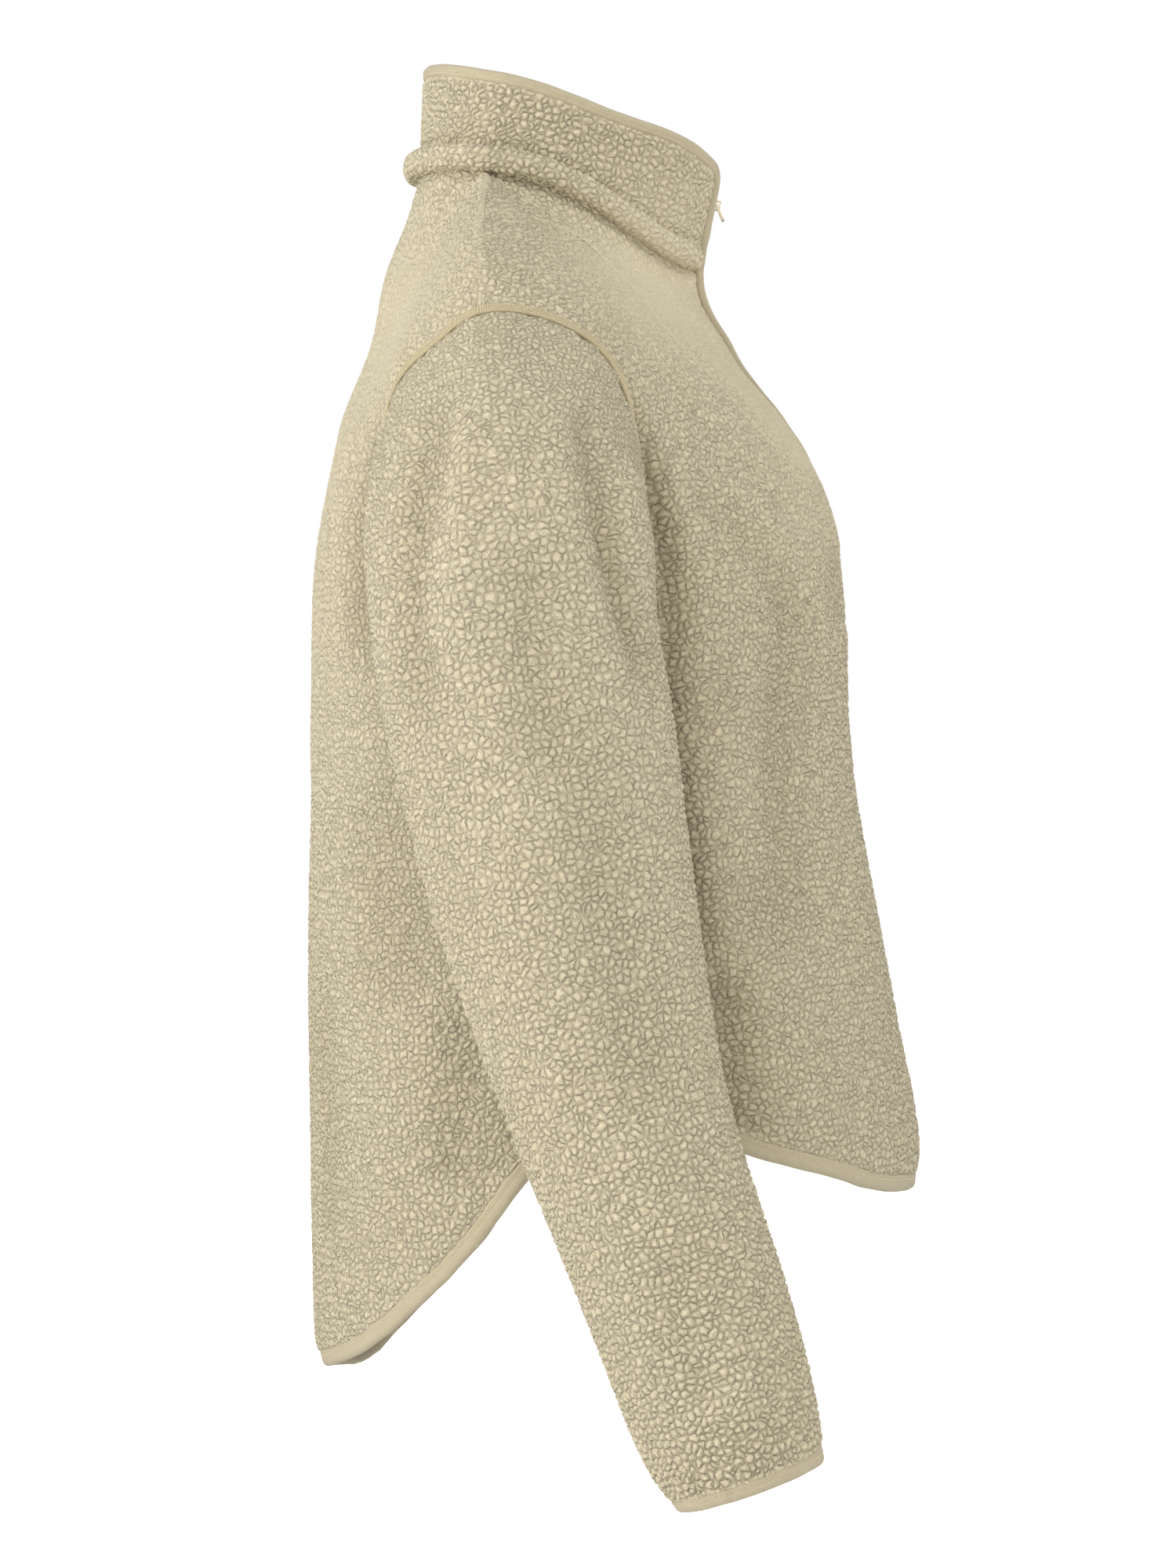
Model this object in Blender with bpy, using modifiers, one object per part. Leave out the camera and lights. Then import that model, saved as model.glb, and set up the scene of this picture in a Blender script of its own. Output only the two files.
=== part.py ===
"""Sherpa fleece half-zip pullover, hollow as it hangs on its wearer.

Metres, +Z up. The front faces -Y and the wearer's left is +X. The origin is the middle of the
neck opening at the height of the shoulders' highest point. Each cloth piece is a wall: a grid of
outer points worked out from the tables below, and inner points one wall thickness inside them.
"""

import math
from collections import namedtuple

import bmesh
import bpy
import numpy as np

# ---------------------------------------------------------------- sizes of the cloth
WALL = 0.0045  # fleece with its pile
SEAM_GAP = 0.0003  # between pieces that are sewn together
MOST_MITRE = 1.6  # longest mitre at a seam, in wall thicknesses

NECK_HALF_WIDTH = 0.080
NECK_FRONT_Y = -0.0830
NECK_POINT_Y = 0.0340  # where the shoulder seam meets the neck
NECK_BACK_Y = 0.0685
NECK_FULLNESS = 2.1  # exponent of a rounded section: 2 is an ellipse
UNDERARM_Z = -0.298
BUST_X = 0.070
BUST_WIDTH = 0.045
SECTION_HALF_WIDTH = 0.200  # the section that spaces the panels' columns evenly
YOKE_FADE = 0.80  # share of the yoke over which the neck and shoulder shape fades out
CORNER_EASE = 0.9  # how far the neck's corner is rounded off at the foot of the yoke
EASE_STEPS = (-1.0, -0.5, 0.0, 0.5, 1.0)

HEM_LEVEL = -0.530
HEM_LEAN = -0.0095  # the hem hangs lower on the wearer's left
HEM_LEAN_X = 0.080
HEM_LEAN_FROM = 0.015  # forward or back of the side seams
HEM_LEAN_OVER = 0.070
SLOPE_STEP = 0.002

ZIP_EDGE_X = 0.0105  # half the gap that the zip and its bindings fill
COLLAR_CORNER = 0.0125  # radius of the collar's front corners

HEM_BINDING_WIDTH = 0.0085
CUFF_BINDING_WIDTH = 0.0072
EDGE_BINDING_WIDTH = 0.0066
BINDING_THICKNESS = 0.0050
# A folded binding's section: share of its width off the cloth's edge, and of half its thickness.
BINDING_SECTION = ((0.0, 0.92), (0.62, 1.0), (1.0, 0.5), (1.0, -0.5), (0.62, -1.0), (0.0, -0.92))

# ---------------------------------------------------------------- how finely it is divided
YOKE_ROWS = 12  # from the neck and shoulder to the underarm
SKIRT_SHARES = (0.09, 0.18, 0.27, 0.36, 0.45, 0.54, 0.63, 0.72, 0.81, 0.89, 0.955, 1.0)
SLIT_ROWS = 7  # rows of the front that the zip parts
SHOULDER_COLUMNS = 7
SLEEVE_ROWS = 19
SLEEVE_SPACING = 1.12  # above 1, the rows lie closer together at the armhole
ARC_STEPS = 400

# ---------------------------------------------------------------- the body's outlines
Level = namedtuple("Level", "z front_y bust back_y side_x side_y")
LEVELS = (
    Level(0.000, -0.0780, 0.0000, 0.0685, 0.190, 0.030),
    Level(-0.030, -0.0800, 0.0000, 0.0780, 0.195, 0.028),
    Level(-0.052, -0.0828, 0.0000, 0.0868, 0.198, 0.026),
    Level(-0.069, -0.0860, 0.0000, 0.0907, 0.199, 0.024),
    Level(-0.087, -0.0960, 0.0005, 0.0940, 0.200, 0.022),
    Level(-0.107, -0.1075, 0.0020, 0.1012, 0.200, 0.020),
    Level(-0.130, -0.1255, 0.0045, 0.1103, 0.200, 0.018),
    Level(-0.151, -0.1383, 0.0060, 0.1150, 0.200, 0.016),
    Level(-0.176, -0.1475, 0.0072, 0.1200, 0.200, 0.014),
    Level(-0.201, -0.1508, 0.0080, 0.1237, 0.200, 0.012),
    Level(-0.238, -0.1525, 0.0080, 0.1254, 0.200, 0.010),
    Level(-0.298, -0.1545, 0.0075, 0.1262, 0.200, 0.008),
    Level(-0.350, -0.1630, 0.0065, 0.1278, 0.197, 0.000),
    Level(-0.400, -0.1735, 0.0055, 0.1288, 0.194, -0.010),
    Level(-0.450, -0.1838, 0.0045, 0.1286, 0.190, -0.020),
    Level(-0.500, -0.1935, 0.0035, 0.1277, 0.186, -0.028),
    Level(-0.520, -0.1955, 0.0030, 0.1270, 0.184, -0.031),
    Level(-0.545, -0.1915, 0.0025, 0.1262, 0.183, -0.034),
    Level(-0.600, -0.1900, 0.0015, 0.1250, 0.180, -0.038),
    Level(-0.6175, -0.1900, 0.0012, 0.1243, 0.179, -0.039),
    Level(-0.6267, -0.1900, 0.0010, 0.1218, 0.178, -0.040),
    Level(-0.6330, -0.1900, 0.0010, 0.1160, 0.178, -0.040),
    Level(-0.6420, -0.1900, 0.0010, 0.1050, 0.178, -0.040),
)

NeckHeight = namedtuple("NeckHeight", "y z")
NECK_HEIGHTS = (
    NeckHeight(-0.0830, -0.0515),
    NeckHeight(-0.0680, -0.0485),
    NeckHeight(-0.0440, -0.0350),
    NeckHeight(-0.0170, -0.0185),
    NeckHeight(0.0070, -0.0085),
    NeckHeight(0.0340, -0.0035),
    NeckHeight(0.0685, -0.0005),
)

ShoulderPoint = namedtuple("ShoulderPoint", "share x y z")
SHOULDER = (
    ShoulderPoint(0.00, 0.080, 0.0340, -0.0035),
    ShoulderPoint(0.30, 0.131, 0.0340, -0.0230),
    ShoulderPoint(0.60, 0.181, 0.0345, -0.0480),
    ShoulderPoint(0.80, 0.211, 0.0345, -0.0670),
    ShoulderPoint(1.00, 0.234, 0.0340, -0.0885),
)

# The armhole runs from the shoulder's tip to the underarm, once over the front and once over the
# back. turn is how far the body's section has turned from straight across when it gets there.
ArmholePoint = namedtuple("ArmholePoint", "share x y z turn")
FRONT_ARMHOLE = (
    ArmholePoint(0.00, 0.2340, 0.0340, -0.0885, 46),
    ArmholePoint(0.07, 0.2335, 0.0140, -0.0900, 47),
    ArmholePoint(0.15, 0.2285, -0.0100, -0.0965, 49),
    ArmholePoint(0.24, 0.2190, -0.0310, -0.1120, 53),
    ArmholePoint(0.34, 0.2100, -0.0430, -0.1390, 59),
    ArmholePoint(0.45, 0.2035, -0.0490, -0.1720, 66),
    ArmholePoint(0.57, 0.1995, -0.0505, -0.2070, 73),
    ArmholePoint(0.70, 0.1975, -0.0440, -0.2430, 80),
    ArmholePoint(0.84, 0.1975, -0.0235, -0.2760, 86),
    ArmholePoint(1.00, 0.2000, 0.0080, -0.2980, 90),
)
BACK_ARMHOLE = (
    ArmholePoint(0.00, 0.2340, 0.0340, -0.0885, 46),
    ArmholePoint(0.09, 0.2280, 0.0530, -0.1035, 49),
    ArmholePoint(0.21, 0.2190, 0.0725, -0.1215, 54),
    ArmholePoint(0.33, 0.2100, 0.0815, -0.1480, 60),
    ArmholePoint(0.46, 0.2035, 0.0820, -0.1800, 66),
    ArmholePoint(0.60, 0.1995, 0.0760, -0.2170, 73),
    ArmholePoint(0.74, 0.1975, 0.0610, -0.2520, 80),
    ArmholePoint(0.87, 0.1980, 0.0370, -0.2810, 86),
    ArmholePoint(1.00, 0.2000, 0.0080, -0.2980, 90),
)

# Heights of the yoke's rows on the front and back centre lines.
YokeRow = namedtuple("YokeRow", "share front_z back_z")
YOKE = (
    YokeRow(0.000, -0.0515, -0.0005),
    YokeRow(0.250, -0.1015, -0.0750),
    YokeRow(0.583, -0.1810, -0.1740),
    YokeRow(0.800, -0.2430, -0.2385),
    YokeRow(1.000, UNDERARM_Z, UNDERARM_Z),
)

# Height of the bound hem's lowest edge, by how far forward or back it lies.
HemPoint = namedtuple("HemPoint", "y z")
HEM = (
    HemPoint(-0.1950, -0.5415),
    HemPoint(-0.1750, -0.5400),
    HemPoint(-0.1600, -0.5355),
    HemPoint(-0.1300, -0.5230),
    HemPoint(-0.1000, -0.5120),
    HemPoint(-0.0700, -0.5010),
    HemPoint(-0.0450, -0.4930),
    HemPoint(-0.0200, -0.5020),
    HemPoint(0.0075, -0.5290),
    HemPoint(0.0345, -0.5655),
    HemPoint(0.0720, -0.6050),
    HemPoint(0.0950, -0.6250),
    HemPoint(0.1250, -0.6400),
)

# ---------------------------------------------------------------- the sleeve
# Rings from the armhole to the cuff. swing is how far a ring's outer side is still turned up
# towards the shoulder, and lean how far the arm below it is carried forward, in degrees.
Ring = namedtuple("Ring", "share x y z swing lean half_depth half_width")
SLEEVE = (
    Ring(0.00, 0.2180, 0.0160, -0.1940, 80, 0.0, 0.0665, 0.1050),
    Ring(0.05, 0.2480, 0.0177, -0.2175, 62, 2.0, 0.0685, 0.0887),
    Ring(0.10, 0.2620, 0.0155, -0.2480, 45, 4.5, 0.0703, 0.0727),
    Ring(0.15, 0.2655, 0.0105, -0.2800, 28, 7.0, 0.0705, 0.0605),
    Ring(0.20, 0.2665, 0.0045, -0.3100, 14, 9.0, 0.0692, 0.0548),
    Ring(0.26, 0.2680, -0.0030, -0.3500, 4, 11.0, 0.0667, 0.0522),
    Ring(0.35, 0.2700, -0.0139, -0.4000, 0, 13.5, 0.0624, 0.0505),
    Ring(0.45, 0.2730, -0.0264, -0.4500, 0, 15.5, 0.0570, 0.0485),
    Ring(0.55, 0.2750, -0.0411, -0.5000, 0, 18.0, 0.0524, 0.0465),
    Ring(0.66, 0.2770, -0.0589, -0.5500, 0, 19.3, 0.0500, 0.0445),
    Ring(0.78, 0.2780, -0.0767, -0.6000, 0, 19.4, 0.0482, 0.0425),
    Ring(0.89, 0.2790, -0.0897, -0.6400, 0, 19.4, 0.0450, 0.0400),
    Ring(1.00, 0.2790, -0.0985, -0.6631, 0, 19.5, 0.0395, 0.0365),
)
SLEEVE_TOP_ANGLE = -15.0  # the shoulder's tip lies this far back of the sleeve's top line
CAP_FADE = 0.20  # share of the sleeve over which the armhole's own shape fades out
CAP_FOLD_FADE = 0.06  # share over which the folds begin

# ---------------------------------------------------------------- the collar
COLLAR_HALF_WIDTH = 0.0735
COLLAR_SIDE_Y = 0.020
COLLAR_FRONT_Y = -0.0935
COLLAR_BACK_Y = 0.0668
CollarHeight = namedtuple("CollarHeight", "y z")
COLLAR_HEIGHTS = (
    CollarHeight(-0.0935, 0.0030),
    CollarHeight(-0.0885, 0.0070),
    CollarHeight(-0.0820, 0.0116),
    CollarHeight(-0.0730, 0.0165),
    CollarHeight(-0.0600, 0.0211),
    CollarHeight(-0.0440, 0.0255),
    CollarHeight(-0.0270, 0.0314),
    CollarHeight(0.0070, 0.0435),
    CollarHeight(0.0340, 0.0496),
    CollarHeight(0.0668, 0.0570),
)
# The raised roll at the collar's foot, as (outwards, upwards) in its section.
ROLL_SECTION = (
    (0.0044, 0.0002),
    (0.0074, 0.0034),
    (0.0075, 0.0074),
    (0.0046, 0.0106),
    (0.0002, 0.0120),
)
ROLL_AT_ZIP = 0.25  # the roll flattens towards the zip
ROLL_FADE = 0.040
COLLAR_LEVELS = (0.36, 0.60, 0.82, 1.0)  # shares of the collar's height above its roll
COLLAR_FRONT_PARTS = (0.30, 0.65)  # where the zip's edge is divided between neck and top

# ---------------------------------------------------------------- the zip
COIL_HALF_WIDTH = 0.0029
COIL_DEPTHS = (0.0022, 0.0047)  # below the cloth's outer face
TAPE_EDGES = (0.0012, 0.0138)
TAPE_DEPTHS = (0.0051, 0.0059)
TAPE_SLANT = 0.0024  # how much deeper its outer edge lies, behind the cloth
TAPE_BELOW = 0.0060  # past the slit's end
TAPE_TOP = 0.0040  # short of the collar's top
STOP_HALF_WIDTH = 0.0030
STOP_LENGTH = 0.0030
STOP_DEPTHS = (0.0012, 0.0047)
STRIP_STEP = 0.0020  # shortest stretch of a strip

SLIDER_Z = -0.0155
SLIDER_HALF_LENGTH = 0.00475
SLIDER_BEVEL = 0.0005
# Blocks of the slider, along its length and in front of the cloth's outer face (stand-off).
Block = namedtuple("Block", "name half_width low high behind before")
SLIDER_BLOCKS = (
    Block("plate", 0.0032, -SLIDER_HALF_LENGTH, SLIDER_HALF_LENGTH, -0.0016, -0.0002),
    Block("neck", 0.0024, -0.0043, 0.0043, -0.0047, -0.0012),
    Block("bail_head", 0.0010, 0.0019, 0.0028, -0.0010, 0.0030),
    Block("bail_foot", 0.0010, -0.0028, -0.0019, -0.0010, 0.0030),
    Block("bail_bar", 0.0010, -0.0024, 0.0024, 0.0022, 0.0030),
)
PIVOT_STAND_OFF = 0.0010  # the pull tab's hinge, in front of the cloth's outer face
TAB_TILT = 23.0  # degrees forward from straight down, as it hangs
TAB_THICKNESS = 0.0012
# Widths across the tab, and shares of them at each distance down from its hinge.
TAB_X = (-0.0028, -0.0016, 0.0016, 0.0028)
TabRow = namedtuple("TabRow", "down share")
TAB_ROWS = (
    TabRow(-0.0006, 1.0),
    TabRow(0.0006, 1.0),
    TabRow(0.0044, 1.0),
    TabRow(0.0080, 1.0),
    TabRow(0.0093, 0.62),
)
TAB_WINDOW = {(1, 1)}

# ---------------------------------------------------------------- the largest folds
# Each lies along a short line, seen from the side as (y, z) or from the front or back as (x, z).
# depth is how far it is pushed in (less than 0) or stands out, width how far it spreads each way.
Fold = namedtuple("Fold", "name depth width line")
SLEEVE_FOLDS = (
    Fold("back_of_cap", -0.0050, 0.012, ((0.047, -0.122), (0.051, -0.150), (0.064, -0.235))),
    Fold("beside_cap", 0.0035, 0.012, ((0.044, -0.140), (0.042, -0.190), (0.046, -0.250))),
    Fold("across_bicep", -0.0055, 0.013, ((0.000, -0.150), (-0.011, -0.172), (-0.039, -0.248))),
    Fold("front_of_bicep", 0.0040, 0.012, ((-0.030, -0.186), (-0.040, -0.225), (-0.050, -0.262))),
    Fold("down_forearm", -0.0045, 0.018, ((-0.023, -0.295), (-0.027, -0.385), (-0.052, -0.492))),
    Fold("behind_elbow", -0.0035, 0.013, ((0.052, -0.262), (0.047, -0.330), (0.036, -0.385))),
    Fold("above_cuff", -0.0025, 0.014, ((-0.062, -0.560), (-0.080, -0.625))),
)
FRONT_FOLDS = (
    Fold("beside_sleeve", -0.0060, 0.020, ((0.168, -0.190), (0.158, -0.340), (0.150, -0.430))),
    Fold("from_bust", -0.0055, 0.022, ((0.086, -0.225), (0.098, -0.310), (0.112, -0.385))),
    Fold("beside_bust", 0.0045, 0.018, ((0.128, -0.255), (0.130, -0.350))),
    Fold("to_hem", -0.0040, 0.020, ((0.148, -0.430), (0.140, -0.505))),
    Fold("down_front", -0.0030, 0.024, ((0.040, -0.330), (0.034, -0.470))),
)
BACK_FOLDS = (
    Fold("beside_sleeve", -0.0060, 0.018, ((0.176, -0.130), (0.168, -0.200), (0.166, -0.280))),
    Fold("waist", -0.0045, 0.024, ((0.120, -0.310), (0.128, -0.420), (0.120, -0.480))),
    Fold("to_hem", -0.0055, 0.022, ((0.150, -0.440), (0.138, -0.530))),
    Fold("beside_hem", 0.0035, 0.018, ((0.108, -0.500), (0.096, -0.590))),
    Fold("down_back", -0.0035, 0.026, ((0.040, -0.330), (0.046, -0.520))),
)
FOLD_FACING = 0.5  # a fold fades out where the cloth turns away from its view

# ---------------------------------------------------------------- the panels and finishes
# line and height name their columns in LEVELS and YOKE, and faces is the way along Y they look.
# neck_share is the share of each half's top edge that is neck, divided at neck_parts.
Panel = namedtuple(
    "Panel", "name line height armhole folds faces fullness depth neck_y neck_share neck_parts"
)
FRONT = Panel(
    name="front_panel",
    line="front_y",
    height="front_z",
    armhole=FRONT_ARMHOLE,
    folds=FRONT_FOLDS,
    faces=-1,
    fullness=2.5,
    depth=0.160,
    neck_y=NECK_FRONT_Y,
    neck_share=0.46,
    neck_parts=(0.0, 0.06, 0.14, 0.26, 0.40, 0.55, 0.70, 0.85, 1.0),
)
BACK = Panel(
    name="back_panel",
    line="back_y",
    height="back_z",
    armhole=BACK_ARMHOLE,
    folds=BACK_FOLDS,
    faces=1,
    fullness=2.6,
    depth=0.118,
    neck_y=NECK_BACK_Y,
    neck_share=0.33,
    neck_parts=(0.0, 0.2, 0.4, 0.6, 0.8, 1.0),
)
SLEEVES = ((-1, "sleeve_right"), (1, "sleeve_left"))
TRUNK_MIDDLE = np.array([0.0, 0.0, -0.3])
NECK_MIDDLE = np.array([0.0, -0.01, 0.0])

Finish = namedtuple("Finish", "slot colour roughness metallic")
FLEECE = Finish("sherpa_fleece", (0.62, 0.55, 0.40), 0.95, 0.0)
BINDING = Finish("binding", (0.58, 0.50, 0.33), 0.75, 0.0)
TAPE = Finish("zip_tape", (0.56, 0.49, 0.33), 0.85, 0.0)
COIL = Finish("zip_coil", (0.60, 0.53, 0.37), 0.45, 0.0)
ZIP_METAL = Finish("zip_metal", (0.58, 0.51, 0.36), 0.40, 0.3)
SHARP_ANGLE = 50.0  # degrees


# ---------------------------------------------------------------- curves
def spline(keys, values, at):
    """A natural cubic spline through the values, read at each place."""
    keys = np.asarray(keys, float)
    values = np.asarray(values, float)
    at = np.asarray(at, float)
    step = np.diff(keys)
    slope = np.diff(values) / step
    size = len(keys)
    matrix = np.eye(size)
    right = np.zeros(size)
    for k in range(1, size - 1):
        matrix[k, k - 1 : k + 2] = step[k - 1], 2 * (step[k - 1] + step[k]), step[k]
        right[k] = 6 * (slope[k] - slope[k - 1])
    bend = np.linalg.solve(matrix, right)
    k = np.clip(np.searchsorted(keys, at) - 1, 0, size - 2)
    before = at - keys[k]
    after = keys[k + 1] - at
    cubic = bend[k] * after**3 + bend[k + 1] * before**3
    straight = (values[k] / step[k] - bend[k] * step[k] / 6) * after
    straight += (values[k + 1] / step[k] - bend[k + 1] * step[k] / 6) * before
    return cubic / (6 * step[k]) + straight


def column(table, key, name, at):
    """One named column of a table, as a smooth curve along its key column."""
    rows = sorted(table, key=lambda row: getattr(row, key))
    keys = [getattr(row, key) for row in rows]
    values = [getattr(row, name) for row in rows]
    return spline(keys, values, at)


def smooth_step(value):
    value = np.clip(value, 0.0, 1.0)
    return value * value * (3 - 2 * value)


def even_angles(fullness, shares, width, depth):
    """Angles that divide a rounded quarter section into stretches of these shares of its length."""
    angle = np.linspace(0, math.pi / 2, ARC_STEPS)
    across = width * np.sin(angle) ** (2 / fullness)
    along = depth * np.cos(angle) ** (2 / fullness)
    stretches = np.hypot(np.diff(across), np.diff(along))
    length = np.concatenate([[0], np.cumsum(stretches)])
    return np.interp(shares, length / length[-1], angle)


def quarter(fullness, angle, turn, start_y, end_x, end_y):
    """Points of a section that leaves the centre line straight across and has turned by turn."""
    power = 2 / fullness
    end = np.radians(turn)
    part = angle * turn / 90.0
    x = end_x * np.sin(part) ** power / np.sin(end) ** power
    drop = (1 - np.cos(part) ** power) / (1 - np.cos(end) ** power)
    return x, start_y + (end_y - start_y) * drop


# ---------------------------------------------------------------- the body
def section_angle(panel, share):
    return even_angles(panel.fullness, share, SECTION_HALF_WIDTH, panel.depth)


def hem_height(x, y):
    """Height of the panel's cut edge: the bound edge, plus the binding measured along the slope."""
    low = column(HEM, "y", "z", y)
    rise = column(HEM, "y", "z", y + SLOPE_STEP) - column(HEM, "y", "z", y - SLOPE_STEP)
    slope = rise / (2 * SLOPE_STEP)
    edge = low + (HEM_BINDING_WIDTH + SEAM_GAP) * np.sqrt(1 + slope**2)
    off_side = np.abs(y - column(LEVELS, "z", "side_y", HEM_LEVEL))
    lean = HEM_LEAN * smooth_step((off_side - HEM_LEAN_FROM) / HEM_LEAN_OVER)
    return edge + lean * np.tanh(x / HEM_LEAN_X)


def neck_and_shoulder(panel, share):
    """The panel's top edge for the wearer's left: round the neck, then along the shoulder."""
    on_neck = np.clip(share / panel.neck_share, 0, 1)
    depth = abs(NECK_POINT_Y - panel.neck_y)
    angle = even_angles(NECK_FULLNESS, on_neck, NECK_HALF_WIDTH, depth)
    x, y = quarter(NECK_FULLNESS, angle, 90, panel.neck_y, NECK_HALF_WIDTH, NECK_POINT_Y)
    neck = np.stack([x, y, column(NECK_HEIGHTS, "y", "z", y)], axis=-1)
    along = np.clip((share - panel.neck_share) / (1 - panel.neck_share), 0, 1)
    shoulder = np.stack([column(SHOULDER, "share", axis, along) for axis in "xyz"], axis=-1)
    return np.where((share <= panel.neck_share)[..., None], neck, shoulder)


def plain_yoke(panel, share, yoke):
    """The yoke's section from the centre line to the armhole, with no neck cut from it."""
    centre_z = column(YOKE, "share", panel.height, yoke)
    edge_x = column(panel.armhole, "share", "x", yoke)
    edge_y = column(panel.armhole, "share", "y", yoke)
    edge_z = column(panel.armhole, "share", "z", yoke)
    turn = column(panel.armhole, "share", "turn", yoke)
    start_y = column(LEVELS, "z", panel.line, centre_z)
    x, y = quarter(panel.fullness, section_angle(panel, share), turn, start_y, edge_x, edge_y)
    return np.stack([x, y, centre_z + (edge_z - centre_z) * share], axis=-1)


def neck_cut(panel, share, yoke):
    """What the neck and shoulder change in the plain yoke, their corner rounded off further down."""
    reach = np.minimum(CORNER_EASE * yoke, np.minimum(share, 1 - share))
    change = np.zeros((*share.shape, 3))
    for step in EASE_STEPS:
        place = share + step * reach
        change += neck_and_shoulder(panel, place) - plain_yoke(panel, place, 0 * place)
    fade = np.clip(1 - yoke / YOKE_FADE, 0, 1) ** 2
    return fade[..., None] * change / len(EASE_STEPS)


def body_point(panel, side, share, row):
    """Outer points of a body panel.

    share runs from the centre line (0) to the panel's edge (1), row from the neck and shoulder (0)
    over the underarm (1) to the hem (2), and side is +1 for the wearer's left, -1 for the right.
    """
    share, row = np.broadcast_arrays(np.asarray(share, float), np.asarray(row, float))
    yoke = np.clip(row, 0, 1)
    upper = plain_yoke(panel, share, yoke) + neck_cut(panel, share, yoke)

    angle = section_angle(panel, share)
    hem_line = column(LEVELS, "z", panel.line, HEM_LEVEL)
    hem_side_x = column(LEVELS, "z", "side_x", HEM_LEVEL)
    hem_side_y = column(LEVELS, "z", "side_y", HEM_LEVEL)
    x, y = quarter(panel.fullness, angle, 90, hem_line, hem_side_x, hem_side_y)
    z = UNDERARM_Z + (hem_height(side * x, y) - UNDERARM_Z) * np.clip(row - 1, 0, 1)
    side_x = column(LEVELS, "z", "side_x", z)
    side_y = column(LEVELS, "z", "side_y", z)
    x, y = quarter(panel.fullness, angle, 90, column(LEVELS, "z", panel.line, z), side_x, side_y)
    lower = np.stack([x, y, z], axis=-1)

    point = np.where((row <= 1)[..., None], upper, lower)
    if panel is FRONT:
        bust = column(LEVELS, "z", "bust", point[..., 2])
        spread = np.exp(-(((point[..., 0] - BUST_X) / BUST_WIDTH) ** 2))
        point[..., 1] -= bust * spread * (1 - share**4)
    point[..., 0] *= side
    return point


# ---------------------------------------------------------------- the sleeve
def sleeve_angle(panel, share):
    """Degrees from the sleeve's top line, towards the front, of a place on the armhole."""
    if panel is FRONT:
        return SLEEVE_TOP_ANGLE + (180 - SLEEVE_TOP_ANGLE) * share
    return SLEEVE_TOP_ANGLE - (180 + SLEEVE_TOP_ANGLE) * share


def sleeve_ring(angle, along):
    """Points of the plain rings, before the armhole's own shape is added."""
    centre = np.stack([column(SLEEVE, "share", axis, along) for axis in "xyz"], axis=-1)
    swing = np.radians(column(SLEEVE, "share", "swing", along))
    lean = np.radians(column(SLEEVE, "share", "lean", along))
    depth = column(SLEEVE, "share", "half_depth", along)
    width = column(SLEEVE, "share", "half_width", along)
    back = np.stack([np.zeros_like(lean), np.cos(lean), -np.sin(lean)], axis=-1)
    rise = np.sin(swing)
    out = np.stack([np.cos(swing), rise * np.sin(lean), rise * np.cos(lean)], axis=-1)
    turn = np.radians(angle)
    return centre + out * (width * np.cos(turn))[..., None] - back * (depth * np.sin(turn))[..., None]


def sleeve_point(side, panel, share, along):
    """Outer points of a sleeve: share is the place on the armhole, along runs down to the cuff."""
    share, along = np.broadcast_arrays(np.asarray(share, float), np.asarray(along, float))
    angle = sleeve_angle(panel, share)
    armhole = np.stack([column(panel.armhole, "share", axis, share) for axis in "xyz"], axis=-1)
    fade = np.clip(1 - along / CAP_FADE, 0, 1) ** 2
    start = sleeve_ring(angle, np.zeros_like(along))
    point = sleeve_ring(angle, along) + fade[..., None] * (armhole - start)
    point[..., 0] *= side
    return point


# ---------------------------------------------------------------- normals and folds
def unit(vectors):
    length = np.linalg.norm(vectors, axis=-1, keepdims=True)
    return vectors / np.maximum(length, 1e-12)


def tangents_of(points, closed=False):
    """Unit directions along a line of points."""
    if closed:
        return unit(np.roll(points, -1, axis=0) - np.roll(points, 1, axis=0))
    return unit(np.gradient(points, axis=0))


def outward_normals(points, closed, middle):
    """Unit normals of a grid, turned away from a point inside the garment."""
    if closed:
        across = np.roll(points, -1, axis=1) - np.roll(points, 1, axis=1)
    else:
        across = np.gradient(points, axis=1)
    normals = unit(np.cross(across, np.gradient(points, axis=0)))
    row, cell = points.shape[0] // 2, points.shape[1] // 2
    outside = normals[row, cell] @ (points[row, cell] - middle)
    return normals * math.copysign(1, outside)


def distance_to_line(flat, line):
    """How far each flat point lies from a line of joined stretches."""
    line = np.asarray(line, float)
    nearest = np.full(flat.shape[:-1], np.inf)
    for start, end in zip(line[:-1], line[1:]):
        reach = end - start
        part = np.clip(((flat - start) @ reach) / (reach @ reach), 0, 1)
        gap = np.linalg.norm(flat - start - part[..., None] * reach, axis=-1)
        nearest = np.minimum(nearest, gap)
    return nearest


def folded(points, normals, folds, flat, facing):
    """Points pushed along their normals by each fold, where the cloth faces its way."""
    push = np.zeros(points.shape[:-1])
    for fold in folds:
        push += fold.depth * np.exp(-((distance_to_line(flat, fold.line) / fold.width) ** 2))
    return points + normals * (push * smooth_step(facing / FOLD_FACING))[..., None]


# ---------------------------------------------------------------- the cloth's grids
def zip_edge_share(side, row):
    """How far along each row of the front the zip's edge lies."""
    probe = np.linspace(0, 0.3, 61)
    across = np.abs(body_point(FRONT, side, probe[None], row)[..., 0])
    return np.array([[np.interp(ZIP_EDGE_X, line, probe)] for line in across])


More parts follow.
